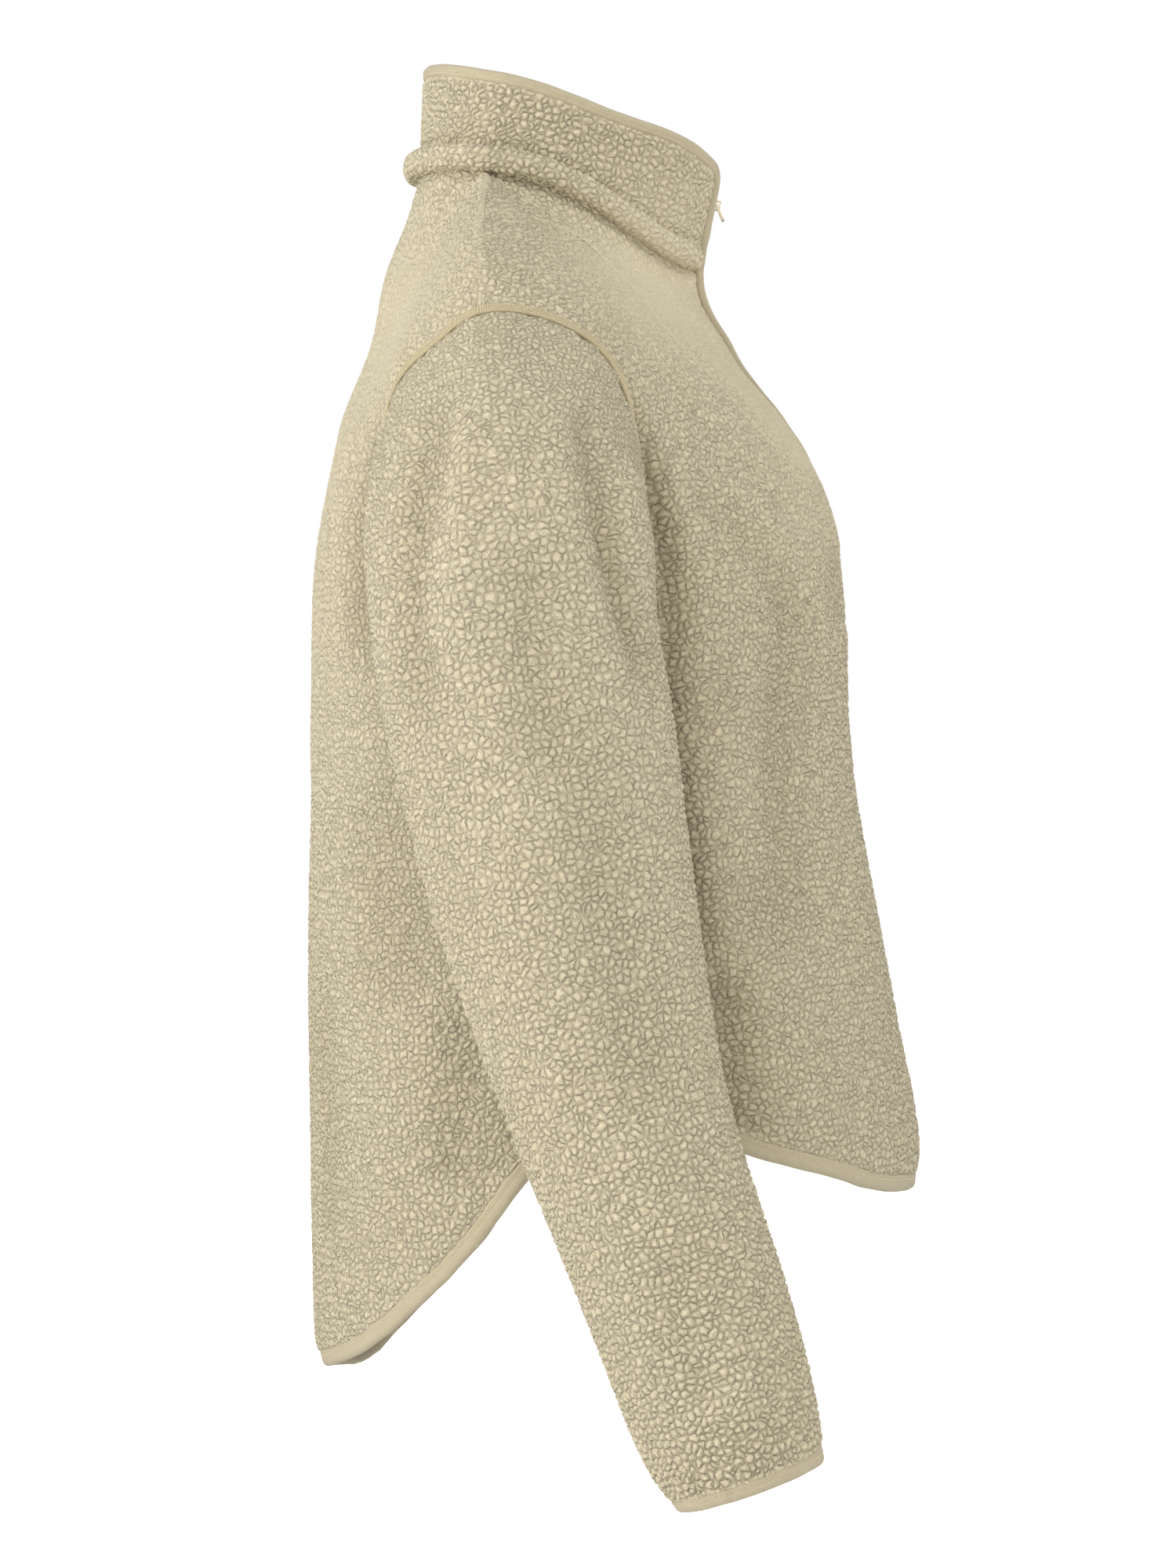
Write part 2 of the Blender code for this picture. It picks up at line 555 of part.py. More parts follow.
def body_grid(panel):
    """Outer points of a whole panel, from the wearer's right to the left."""
    neck = np.array(panel.neck_parts) * panel.neck_share
    shoulder = np.linspace(panel.neck_share, 1, SHOULDER_COLUMNS + 1)[1:]
    share = np.concatenate([neck, shoulder])[None]
    row = np.concatenate([np.linspace(0, 1, YOKE_ROWS + 1), 1 + np.array(SKIRT_SHARES)])[:, None]
    halves = []
    for side in (-1, 1):
        start = zip_edge_share(side, row) if panel is FRONT else 0 * row
        places = share + start * np.clip(1 - share / panel.neck_share, 0, 1)
        halves.append(body_point(panel, side, places, row))
    right, left = halves
    if panel is BACK:
        left = left[:, 1:]
    points = np.concatenate([right[:, ::-1], left], axis=1)
    normals = outward_normals(points, False, TRUNK_MIDDLE)
    flat = np.stack([np.abs(points[..., 0]), points[..., 2]], axis=-1)
    return folded(points, normals, panel.folds, flat, normals[..., 1] * panel.faces)


def sleeve_grid(side):
    """Outer points of a sleeve: columns from the shoulder's tip over the front and back again."""
    along = np.linspace(0, 1, SLEEVE_ROWS + 1)[:, None] ** SLEEVE_SPACING
    share = np.linspace(0, 1, YOKE_ROWS + 1)[None]
    front = sleeve_point(side, FRONT, share, along)
    back = sleeve_point(side, BACK, share[:, ::-1], along)
    points = np.concatenate([front, back[:, 1:-1]], axis=1)
    normals = outward_normals(points, True, points[SLEEVE_ROWS // 2].mean(axis=0))
    facing = normals[..., 0] * side * smooth_step(along / CAP_FOLD_FADE)
    return folded(points, normals, SLEEVE_FOLDS, points[..., 1:], facing)


# ---------------------------------------------------------------- seams
def mitre(normals):
    """The step from a seam's outer point to its inner one, a wall thickness inside each piece."""
    inward = -np.asarray(normals)
    step = np.linalg.lstsq(inward, np.full(len(inward), WALL), rcond=0.05)[0]
    return step * min(1.0, MOST_MITRE * WALL / np.linalg.norm(step))


def away(tangent, step, into):
    """Half the seam gap, square to the seam and to its mitre, towards the piece itself."""
    across = unit(np.cross(tangent, step))
    return across * math.copysign(SEAM_GAP / 2, float(across @ into))


class Cloth:
    """The grids of the panels and sleeves. A place is (name, row, column)."""

    def __init__(self):
        self.line = {panel.name: body_grid(panel) for panel in (FRONT, BACK)}
        self.normals = {
            name: outward_normals(grid, False, TRUNK_MIDDLE) for name, grid in self.line.items()
        }
        for side, name in SLEEVES:
            grid = sleeve_grid(side)
            self.line[name] = grid
            self.normals[name] = outward_normals(grid, True, grid[SLEEVE_ROWS // 2].mean(axis=0))
        # Beside the zip the cloth faces straight forward, so its inner edge lies behind its outer one.
        zip_left = self.line["front_panel"].shape[1] // 2
        beside_zip = self.normals["front_panel"][: SLIT_ROWS + 1, zip_left - 1 : zip_left + 1]
        beside_zip[..., 0] = 0
        beside_zip[:] = unit(beside_zip)
        self.outer = {name: grid.copy() for name, grid in self.line.items()}
        self.inner = {name: grid - self.normals[name] * WALL for name, grid in self.line.items()}
        self.mitres = {}

    def point(self, place):
        name, row, cell = place
        return self.line[name][row, cell]

    def meet(self, places, extra=()):
        """Mitres the places that meet in one seam point, and whatever else faces extra there."""
        facing = [self.normals[name][row, cell] for name, row, cell in places]
        step = mitre(facing + list(extra))
        for place in places:
            name, row, cell = place
            self.inner[name][row, cell] = self.line[name][row, cell] + step
            self.mitres[place] = step
        return step

    def draw_back(self, name, seam, beside, closed=False):
        """Parts a piece's seam edge from its neighbour. beside is the grid one step inside it."""
        points = np.array([self.line[name][place] for place in seam])
        for tangent, place, inside in zip(tangents_of(points, closed), seam, beside):
            into = self.line[name][inside] - self.line[name][place]
            shift = away(tangent, self.mitres[(name, *place)], into)
            self.outer[name][place] += shift
            self.inner[name][place] += shift


def seam_meets(cloth):
    """The places that meet in each point of the armhole, side and shoulder seams."""
    last_row = len(cloth.line["front_panel"]) - 1
    meets = []
    for side, sleeve in SLEEVES:
        front_edge = cloth.line["front_panel"].shape[1] - 1 if side > 0 else 0
        back_edge = cloth.line["back_panel"].shape[1] - 1 if side > 0 else 0
        around = cloth.line[sleeve].shape[1]
        for row in range(YOKE_ROWS + 1):
            meets.append([("front_panel", row, front_edge), (sleeve, 0, row)])
            if row in (0, YOKE_ROWS):
                meets[-1].append(("back_panel", row, back_edge))
            else:
                meets.append([("back_panel", row, back_edge), (sleeve, 0, around - row)])
        for row in range(YOKE_ROWS + 1, last_row + 1):
            meets.append([("front_panel", row, front_edge), ("back_panel", row, back_edge)])
        for step in range(1, SHOULDER_COLUMNS):
            front_place = ("front_panel", 0, front_edge - side * step)
            meets.append([front_place, ("back_panel", 0, back_edge - side * step)])
    return meets


def neck_meets(cloth):
    """The neck seam's places, from the right of the zip round the back to its left."""
    front_count = len(FRONT.neck_parts)
    back_count = len(BACK.neck_parts)
    zip_left = cloth.line["front_panel"].shape[1] // 2
    middle = cloth.line["back_panel"].shape[1] // 2
    order = [[("front_panel", 0, zip_left - 1 - k)] for k in range(front_count)]
    order[-1].append(("back_panel", 0, middle - back_count + 1))
    order += [[("back_panel", 0, middle + k)] for k in range(2 - back_count, back_count - 1)]
    order += [[("front_panel", 0, zip_left + k)] for k in range(front_count - 1, -1, -1)]
    order[-front_count].append(("back_panel", 0, middle + back_count - 1))
    return order


def draw_back_panels(cloth):
    """Parts both body panels from their neighbours along every seam edge."""
    for panel in (FRONT, BACK):
        rows, columns = cloth.line[panel.name].shape[:2]
        last = columns - 1
        for edge, beside in ((0, 1), (last, last - 1)):
            armhole = range(YOKE_ROWS + 1)
            side = range(YOKE_ROWS, rows)
            cloth.draw_back(panel.name, [(r, edge) for r in armhole], [(r + 1, beside) for r in armhole])
            cloth.draw_back(panel.name, [(r, edge) for r in side], [(r, beside) for r in side])
        neck_start = SHOULDER_COLUMNS
        neck_end = last - SHOULDER_COLUMNS
        runs = [range(0, neck_start + 1), range(neck_end, last + 1)]
        if panel is FRONT:
            runs += [range(neck_start, columns // 2), range(columns // 2, neck_end + 1)]
        else:
            runs.append(range(neck_start, neck_end + 1))
        for run in runs:
            cloth.draw_back(panel.name, [(0, c) for c in run], [(1, c) for c in run])


# ---------------------------------------------------------------- solids
def new_object(name, mesh, finish):
    material = bpy.data.materials.get(finish.slot) or bpy.data.materials.new(finish.slot)
    material.use_nodes = True
    shader = material.node_tree.nodes["Principled BSDF"]
    shader.inputs["Base Color"].default_value = (*finish.colour, 1)
    shader.inputs["Roughness"].default_value = finish.roughness
    shader.inputs["Metallic"].default_value = finish.metallic
    mesh.materials.append(material)
    mesh.shade_smooth()
    mesh.set_sharp_from_angle(angle=math.radians(SHARP_ANGLE))
    made = bpy.data.objects.new(name, mesh)
    bpy.data.collections["pullover"].objects.link(made)
    return made


def split(points, face):
    """Two triangles of a four-cornered face. The cut starts at the corner furthest along one
    slanted direction, so two faces that lie a seam's gap apart are cut alike."""
    slanted = [abs(points[k][0]) * 0.43 + points[k][1] * 0.77 + points[k][2] for k in face]
    first = int(np.argmax(slanted))
    a, b, c, d = (face[(first + k) % 4] for k in range(4))
    return [(a, b, c), (a, c, d)]


def mesh_of(name, points, faces):
    """A closed mesh of these faces, all turned outwards."""
    shape = bmesh.new()
    corners = [shape.verts.new(point) for point in points]
    for face in faces:
        shape.faces.new([corners[index] for index in face])
    bmesh.ops.recalc_face_normals(shape, faces=shape.faces)
    loose = [corner for corner in shape.verts if not corner.link_faces]
    bmesh.ops.delete(shape, geom=loose, context="VERTS")
    mesh = bpy.data.meshes.new(name)
    shape.to_mesh(mesh)
    shape.free()
    return mesh


def wall(name, outer, inner, finish, closed=False, left_out=()):
    """A wall between two grids of points. left_out lists its (row, column) cells that are open."""
    rows, columns = outer.shape[:2]
    skin = []
    for row in range(rows - 1):
        for cell in range(columns if closed else columns - 1):
            if (row, cell) not in left_out:
                here = row * columns + cell
                right = row * columns + (cell + 1) % columns
                skin.append((here, right, right + columns, here + columns))
    edges = {(face[k], face[(k + 1) % 4]) for face in skin for k in range(4)}
    count = rows * columns
    faces = skin + [tuple(index + count for index in reversed(face)) for face in skin]
    points = np.concatenate([outer.reshape(-1, 3), inner.reshape(-1, 3)])
    for start, end in sorted(edges):
        if (end, start) not in edges:
            faces += split(points, (end, start, start + count, end + count))
    return new_object(name, mesh_of(name, points, faces), finish)


def sweep(name, sections, finish, closed=False):
    """A solid through loops of points, joined end to end or capped."""
    count, around = sections.shape[:2]
    points = sections.reshape(-1, 3)
    faces = []
    for k in range(count if closed else count - 1):
        onward = (k + 1) % count
        for i in range(around):
            j = (i + 1) % around
            here, there = k * around, onward * around
            faces += split(points, (here + i, here + j, there + j, there + i))
    if not closed:
        faces.append(tuple(range(around)))
        faces.append(tuple((count - 1) * around + i for i in range(around)))
    return new_object(name, mesh_of(name, points, faces), finish)


# ---------------------------------------------------------------- the collar
class Collar:
    """The collar's frame: its foot is the neck seam, its head the bound top edge."""

    def __init__(self, foot):
        self.foot = foot
        front_parts = self.front_parts()
        back_parts = np.array(BACK.neck_parts)
        runs = [
            self.head_line(-1, FRONT, front_parts),
            self.head_line(-1, BACK, back_parts[::-1])[1:],
            self.head_line(1, BACK, back_parts)[1:-1],
            self.head_line(1, FRONT, front_parts)[::-1],
        ]
        self.head = np.concatenate(runs)
        self.head[[0, -1], 0] = -ZIP_EDGE_X, ZIP_EDGE_X
        self.up = unit(self.head - foot)
        outward = unit(np.cross(tangents_of(self.head + foot), self.up))
        away_from_middle = np.sum(outward * (self.head - NECK_MIDDLE), axis=-1, keepdims=True)
        self.outward = outward * np.sign(away_from_middle)
        self.outward[[0, -1], 0] = 0
        self.outward = unit(self.outward)

        run = along_line(self.head)
        from_corner = np.minimum(run, run[-1] - run)
        inside = np.clip(COLLAR_CORNER - from_corner, 0, COLLAR_CORNER)
        corner_drop = COLLAR_CORNER - np.sqrt(COLLAR_CORNER**2 - inside**2)
        length = np.linalg.norm(self.head - foot, axis=-1)
        self.height = length - EDGE_BINDING_WIDTH - SEAM_GAP - corner_drop
        self.edge = foot + self.up * self.height[:, None]

    @staticmethod
    def head_line(side, panel, part):
        """The bound top edge, above the neck seam's place with the same part."""
        start_y = COLLAR_FRONT_Y if panel is FRONT else COLLAR_BACK_Y
        depth = abs(COLLAR_SIDE_Y - start_y)
        angle = even_angles(NECK_FULLNESS, part, COLLAR_HALF_WIDTH, depth)
        x, y = quarter(NECK_FULLNESS, angle, 90, start_y, COLLAR_HALF_WIDTH, COLLAR_SIDE_Y)
        return np.stack([side * x, y, column(COLLAR_HEIGHTS, "y", "z", y)], axis=-1)

    def front_parts(self):
        """The neck's parts, moved so that the first one lies at the zip's edge."""
        probe = np.linspace(0, 0.4, 81)
        start = np.interp(ZIP_EDGE_X, self.head_line(1, FRONT, probe)[:, 0], probe)
        parts = np.array(FRONT.neck_parts)
        return parts + start * (1 - parts)

    def build(self, steps, shifts):
        """A wall up from the neck seam, with the roll along its foot."""
        run = along_line(self.foot)
        from_zip = np.minimum(run, run[-1] - run)
        roll = ROLL_AT_ZIP + (1 - ROLL_AT_ZIP) * smooth_step(from_zip / ROLL_FADE)
        roll_top = ROLL_SECTION[-1][1]
        sections = []
        for k, height in enumerate(self.height):
            base = self.foot[k] + shifts[k]
            up, outward = self.up[k], self.outward[k]
            levels = [roll_top + (height - roll_top) * share for share in COLLAR_LEVELS]
            loop = [base]
            loop += [base + outward * out * roll[k] + up * high for out, high in ROLL_SECTION]
            loop += [base + up * level for level in levels]
            loop += [base + up * level - outward * WALL for level in reversed(levels)]
            loop.append(base + steps[k])
            sections.append(loop)
        sweep("collar", np.array(sections), FLEECE)


def along_line(points):
    """How far along a line of points each one lies."""
    return np.concatenate([[0], np.cumsum(np.linalg.norm(np.diff(points, axis=0), axis=-1))])


# ---------------------------------------------------------------- bindings
def binding_sections(edge, outward, off_edge, width):
    """Sections of a folded binding: a flat side along the cloth's edge and a rounded free side."""
    middle = edge - outward * (WALL / 2)
    loops = []
    for across, through in BINDING_SECTION:
        off = off_edge * (SEAM_GAP + across * width)
        loops.append(middle + off + outward * (through * BINDING_THICKNESS / 2))
    return np.stack(loops, axis=1)


def lower_binding(name, edge, outward, width):
    """A binding all round an opening's lower edge."""
    down = unit(np.cross(tangents_of(edge, closed=True), outward))
    down *= -np.sign(down[:, 2:])
    sweep(name, binding_sections(edge, outward, down, width), BINDING, closed=True)


def build_hem_and_cuff_bindings(cloth):
    front, back = cloth.line["front_panel"][-1], cloth.line["back_panel"][-1]
    front_normals, back_normals = cloth.normals["front_panel"][-1], cloth.normals["back_panel"][-1]
    edge = np.concatenate([front, back[-2:0:-1]])
    outward = np.concatenate([front_normals, back_normals[-2:0:-1]])
    outward[0] = unit(front_normals[0] + back_normals[0])
    outward[len(front) - 1] = unit(front_normals[-1] + back_normals[-1])
    lower_binding("hem_binding", edge, outward, HEM_BINDING_WIDTH)
    for side, sleeve in SLEEVES:
        name = "cuff_binding_left" if side > 0 else "cuff_binding_right"
        lower_binding(name, cloth.line[sleeve][-1], cloth.normals[sleeve][-1], CUFF_BINDING_WIDTH)


def build_collar_binding(cloth, collar):
    """Up the right of the zip, over the collar's top, and down the left of the zip."""
    zip_left = cloth.line["front_panel"].shape[1] // 2
    slit = slice(0, SLIT_ROWS + 1)
    paths = []
    faces = []
    for cell, end in ((zip_left - 1, 0), (zip_left, -1)):
        line = cloth.line["front_panel"][slit, cell][::-1]
        normals = cloth.normals["front_panel"][slit, cell][::-1]
        foot, edge = collar.foot[end], collar.edge[end]
        rise = [foot + (edge - foot) * part for part in COLLAR_FRONT_PARTS]
        # The lowest end stops just short of the slit's end.
        line = line + np.eye(len(line))[:, :1] * unit(line[1] - line[0]) * SEAM_GAP
        paths.append(np.concatenate([line, rise]))
        faces.append(np.concatenate([normals, [collar.outward[end]] * len(rise)]))
    path = np.concatenate([paths[0], collar.edge, paths[1][::-1]])
    outward = unit(np.concatenate([faces[0], collar.outward, faces[1][::-1]]))
    off = unit(np.cross(tangents_of(path), outward))
    off *= math.copysign(1, off[len(path) // 2, 2])
    sweep("collar_binding", binding_sections(path, outward, off, EDGE_BINDING_WIDTH), BINDING)


# ---------------------------------------------------------------- the zip
class ZipLine:
    """The zip's middle line from the slit's end to the collar's top."""

    def __init__(self, cloth, collar):
        zip_left = cloth.line["front_panel"].shape[1] // 2
        slit = slice(0, SLIT_ROWS + 1)
        parts = [*COLLAR_FRONT_PARTS, 1.0]
        foot, edge = collar.foot[-1], collar.edge[-1]
        line = cloth.line["front_panel"][slit, zip_left][::-1]
        facing = cloth.normals["front_panel"][slit, zip_left][::-1]
        self.points = np.concatenate([line, [foot + (edge - foot) * part for part in parts]])
        self.facing = np.concatenate([facing, [collar.outward[-1]] * len(parts)])
        self.points[:, 0] = 0
        self.facing[:, 0] = 0
        self.heights = self.points[:, 2]

    def at(self, z):
        """The middle point at a height, and the way the zip faces there."""
        point = [np.interp(z, self.heights, self.points[:, axis]) for axis in range(3)]
        facing = [np.interp(z, self.heights, self.facing[:, axis]) for axis in range(3)]
        return np.array(point), unit(np.array(facing))


def strip(line, name, ends, sides, depths, finish, slants=(0.0, 0.0)):
    """A flat strip along the zip. slants is how much deeper each of its two sides lies."""
    low, high = ends
    between = [z for z in line.heights if low + STRIP_STEP < z < high - STRIP_STEP]
    loops = []
    for z in [low, *between, high]:
        point, facing = line.at(z)
        corners = [(0, 0), (1, 0), (1, 1), (0, 1)]
        loops.append(
            [
                point + np.array([sides[i], 0, 0]) - facing * (depths[j] + slants[i])
                for i, j in corners
            ]
        )
    sweep(name, np.array(loops), finish)


def build_zip(cloth, collar):
    line = ZipLine(cloth, collar)
    foot, head = line.heights[0], line.heights[-1]
    tape_ends = (foot - TAPE_BELOW, head - TAPE_TOP)
    near, far = TAPE_EDGES
    strip(line, "zip_tape_left", tape_ends, (near, far), TAPE_DEPTHS, TAPE, (0.0, TAPE_SLANT))
    strip(line, "zip_tape_right", tape_ends, (-far, -near), TAPE_DEPTHS, TAPE, (TAPE_SLANT, 0.0))
    stop_low = foot + 2 * SEAM_GAP
    stop_high = stop_low + STOP_LENGTH
    stop_sides = (-STOP_HALF_WIDTH, STOP_HALF_WIDTH)
    strip(line, "zip_bottom_stop", (stop_low, stop_high), stop_sides, STOP_DEPTHS, ZIP_METAL)
    coil_ends = (stop_high + SEAM_GAP, SLIDER_Z - SLIDER_HALF_LENGTH - SEAM_GAP)
    strip(line, "zip_coil", coil_ends, (-COIL_HALF_WIDTH, COIL_HALF_WIDTH), COIL_DEPTHS, COIL)
    build_slider(*line.at(SLIDER_Z))


def block_mesh(block, point, facing, along):
    """A box of the slider, placed on the zip line."""
    corners = []
    for up in (block.low, block.high):
        for x, out in ((-1, block.behind), (1, block.behind), (1, block.before), (-1, block.before)):
            corners.append(point + np.array([x * block.half_width, 0, 0]) + facing * out + along * up)
    faces = ((0, 1, 2, 3), (7, 6, 5, 4), (0, 4, 5, 1), (1, 5, 6, 2), (2, 6, 7, 3), (3, 7, 4, 0))
    return mesh_of(block.name, corners, faces)


def build_slider(point, facing):
    """The slider, joined from its blocks, and the pull tab that hangs from its bail."""
    along = unit(np.cross(facing, np.array([1.0, 0.0, 0.0])))
    along = along * math.copysign(1, along[2])
    plate, *others = SLIDER_BLOCKS
    slider = new_object("zip_slider", block_mesh(plate, point, facing, along), ZIP_METAL)
    bevel = slider.modifiers.new("rounded", "BEVEL")
    bevel.width = SLIDER_BEVEL
    bevel.segments = 1
    for block in others:
        helper = bpy.data.objects.new(block.name, block_mesh(block, point, facing, along))
        helper.hide_render = True
        helper.display_type = "WIRE"
        bpy.data.collections["cutters"].objects.link(helper)
        union = slider.modifiers.new(f"with_{block.name}", "BOOLEAN")
        union.operation = "UNION"
        union.object = helper

    tilt = math.radians(TAB_TILT)
    hang = np.array([0, -math.sin(tilt), -math.cos(tilt)])
    through = np.array([0, -math.cos(tilt), math.sin(tilt)]) * (TAB_THICKNESS / 2)
    middle = np.array(
        [[np.array([x * row.share, 0, 0]) + hang * row.down for x in TAB_X] for row in TAB_ROWS]
    )
    tab = wall("zip_pull_tab", middle + through, middle - through, ZIP_METAL, left_out=TAB_WINDOW)
    tab.location = point + facing * PIVOT_STAND_OFF


# ---------------------------------------------------------------- the pullover
def build_pullover():
    cloth = Cloth()
    neck = neck_meets(cloth)
    collar = Collar(np.array([cloth.point(places[0]) for places in neck]))
    for places in seam_meets(cloth):
        cloth.meet(places)
    neck_steps = [cloth.meet(places, [facing]) for places, facing in zip(neck, collar.outward)]
    draw_back_panels(cloth)
    for _, name in SLEEVES:
        around = range(cloth.line[name].shape[1])
        cloth.draw_back(name, [(0, c) for c in around], [(1, c) for c in around], closed=True)

    zip_left = cloth.line["front_panel"].shape[1] // 2
    slit = {(row, zip_left - 1) for row in range(SLIT_ROWS)}
    wall("front_panel", cloth.outer["front_panel"], cloth.inner["front_panel"], FLEECE, left_out=slit)
    wall("back_panel", cloth.outer["back_panel"], cloth.inner["back_panel"], FLEECE)
    for _, name in SLEEVES:
        wall(name, cloth.outer[name], cloth.inner[name], FLEECE, closed=True)
    neck_tangents = tangents_of(collar.foot)
    shifts = [away(*sides) for sides in zip(neck_tangents, neck_steps, collar.up)]
    collar.build(neck_steps, shifts)
    build_hem_and_cuff_bindings(cloth)
    build_collar_binding(cloth, collar)
    build_zip(cloth, collar)


def main():
    for old in list(bpy.data.objects):
        bpy.data.objects.remove(old)
    for name in ("pullover", "cutters"):
        bpy.context.scene.collection.children.link(bpy.data.collections.new(name))
    build_pullover()


main()
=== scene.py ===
"""Sherpa fleece half-zip pullover: its pile, bindings, sewing and zip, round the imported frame.

Metres, +Z up. The front faces -Y and the wearer's left is +X. The fleece pieces follow the same
tables as their solids, divided finely enough for the nubs of the pile.
"""

import math
from collections import namedtuple

import bpy
import numpy as np
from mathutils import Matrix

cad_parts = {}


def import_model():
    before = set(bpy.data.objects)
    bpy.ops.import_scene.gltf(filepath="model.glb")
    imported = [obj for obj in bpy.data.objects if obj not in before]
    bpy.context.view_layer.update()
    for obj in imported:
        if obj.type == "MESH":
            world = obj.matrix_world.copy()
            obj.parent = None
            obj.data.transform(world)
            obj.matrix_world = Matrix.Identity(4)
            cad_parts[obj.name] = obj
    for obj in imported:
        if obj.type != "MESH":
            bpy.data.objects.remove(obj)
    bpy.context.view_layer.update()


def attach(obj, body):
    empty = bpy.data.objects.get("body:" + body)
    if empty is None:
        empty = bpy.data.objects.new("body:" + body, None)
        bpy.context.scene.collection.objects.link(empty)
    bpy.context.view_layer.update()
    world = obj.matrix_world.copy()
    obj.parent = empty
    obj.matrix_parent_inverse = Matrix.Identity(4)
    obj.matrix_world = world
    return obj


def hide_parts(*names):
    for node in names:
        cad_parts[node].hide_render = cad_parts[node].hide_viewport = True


# ---------------------------------------------------------------- sizes of the cloth
WALL = 0.0045  # fleece with its pile
SEAM_GAP = 0.0003  # between pieces that are sewn together

NECK_HALF_WIDTH = 0.080
NECK_FRONT_Y = -0.0830
NECK_POINT_Y = 0.0340  # where the shoulder seam meets the neck
NECK_BACK_Y = 0.0685
NECK_FULLNESS = 2.1  # exponent of a rounded section: 2 is an ellipse
UNDERARM_Z = -0.298
BUST_X = 0.070
BUST_WIDTH = 0.045
SECTION_HALF_WIDTH = 0.200  # the section that spaces the panels' columns evenly
YOKE_FADE = 0.80  # share of the yoke over which the neck and shoulder shape fades out
CORNER_EASE = 0.9  # how far the neck's corner is rounded off at the foot of the yoke
EASE_STEPS = (-1.0, -0.5, 0.0, 0.5, 1.0)

HEM_LEVEL = -0.530
HEM_LEAN = (-0.0035, -0.0095)  # how much lower the hem hangs on the wearer's left, front and back
HEM_LEAN_X = 0.080
HEM_LEAN_FROM = (0.085, 0.015)  # forward and back of the side seams
HEM_LEAN_OVER = (0.040, 0.070)
SLOPE_STEP = 0.002

ZIP_EDGE_X = 0.0105  # half the gap that the zip and its bindings fill
COLLAR_CORNER = 0.0125  # radius of the collar's front corners

HEM_BINDING_WIDTH = 0.0085
CUFF_BINDING_WIDTH = 0.0072
EDGE_BINDING_WIDTH = 0.0061
BINDING_THICKNESS = 0.0050
BINDING_KNIT = 0.0010  # thickness of its own knit, which is folded round the edge
BESIDE_ZIP = (0.016, 0.008)  # reach from the zip's middle, and over how much it begins

# ---------------------------------------------------------------- how finely it is divided
COARSE = 4  # cells of the outer side along each edge of an inner cell
CENTRE_COLUMNS = 12  # of the front, below the slit
SLIT_SHARE = 7 / 12  # of the front's yoke that the zip parts
SLEEVE_COLUMNS = 98  # over the front, and again over the back
SLEEVE_ROWS = 360
COLLAR_ROLL_ROWS = 20
COLLAR_ROWS = 40  # above the roll
COLLAR_FRONT_COLUMNS = 148
COLLAR_BACK_COLUMNS = 80
ARC_STEPS = 400
FLAT_ROWS = 26  # of the net that is laid out flat
FLAT_COLUMNS = 30
FLAT_ROUNDS = 14
ZIP_SEARCH = (0.3, 61)  # share of half the front in which the zip's edge is sought, and the places
COLLAR_SEARCH = (0.4, 81)  # the same for the collar's top
BINDING_SMOOTHING = 4  # neighbours each way that a direction along an edge is averaged over
EDGE_SMOOTHING = 2
SEAM_SMOOTHING = 8
FACING_SMOOTHING = 3
FACING_ROUNDS = 6  # that even out how far sideways the facing's sewing lies
RISE_POINTS = 16  # up the collar's front edge, for its binding
ZIP_RISE_POINTS = 12
TAPE_SECTIONS = 120
TAPE_POINTS = 8  # across a tape

# ---------------------------------------------------------------- the body's outlines
Level = namedtuple("Level", "z front_y bust back_y side_x side_y")
LEVELS = [Level(*row) for row in (
    (0.000, -0.0780, 0.0000, 0.0685, 0.190, 0.030),
    (-0.030, -0.0800, 0.0000, 0.0780, 0.195, 0.028),
    (-0.052, -0.0828, 0.0000, 0.0868, 0.198, 0.026),
    (-0.069, -0.0860, 0.0000, 0.0907, 0.199, 0.024),
    (-0.087, -0.0960, 0.0005, 0.0940, 0.200, 0.022),
    (-0.107, -0.1075, 0.0020, 0.1012, 0.200, 0.020),
    (-0.130, -0.1255, 0.0045, 0.1103, 0.200, 0.018),
    (-0.151, -0.1383, 0.0060, 0.1150, 0.200, 0.016),
    (-0.176, -0.1475, 0.0072, 0.1200, 0.200, 0.014),
    (-0.201, -0.1508, 0.0080, 0.1237, 0.200, 0.012),
    (-0.238, -0.1525, 0.0080, 0.1254, 0.200, 0.010),
    (-0.298, -0.1545, 0.0075, 0.1262, 0.200, 0.008),
    (-0.350, -0.1630, 0.0065, 0.1278, 0.197, 0.000),
    (-0.400, -0.1735, 0.0055, 0.1288, 0.194, -0.010),
    (-0.450, -0.1838, 0.0045, 0.1286, 0.190, -0.020),
    (-0.500, -0.1935, 0.0035, 0.1277, 0.186, -0.028),
    (-0.520, -0.1955, 0.0030, 0.1270, 0.184, -0.031),
    (-0.545, -0.1915, 0.0025, 0.1262, 0.183, -0.034),
    (-0.600, -0.1900, 0.0015, 0.1250, 0.180, -0.038),
    (-0.6175, -0.1900, 0.0012, 0.1243, 0.179, -0.039),
    (-0.6267, -0.1900, 0.0010, 0.1218, 0.178, -0.040),
    (-0.6330, -0.1900, 0.0010, 0.1160, 0.178, -0.040),
    (-0.6420, -0.1900, 0.0010, 0.1050, 0.178, -0.040),
)]

NeckHeight = namedtuple("NeckHeight", "y z")
NECK_HEIGHTS = [NeckHeight(*row) for row in (
    (-0.0830, -0.0515),
    (-0.0680, -0.0485),
    (-0.0440, -0.0350),
    (-0.0170, -0.0185),
    (0.0070, -0.0085),
    (0.0340, -0.0035),
    (0.0685, -0.0005),
)]

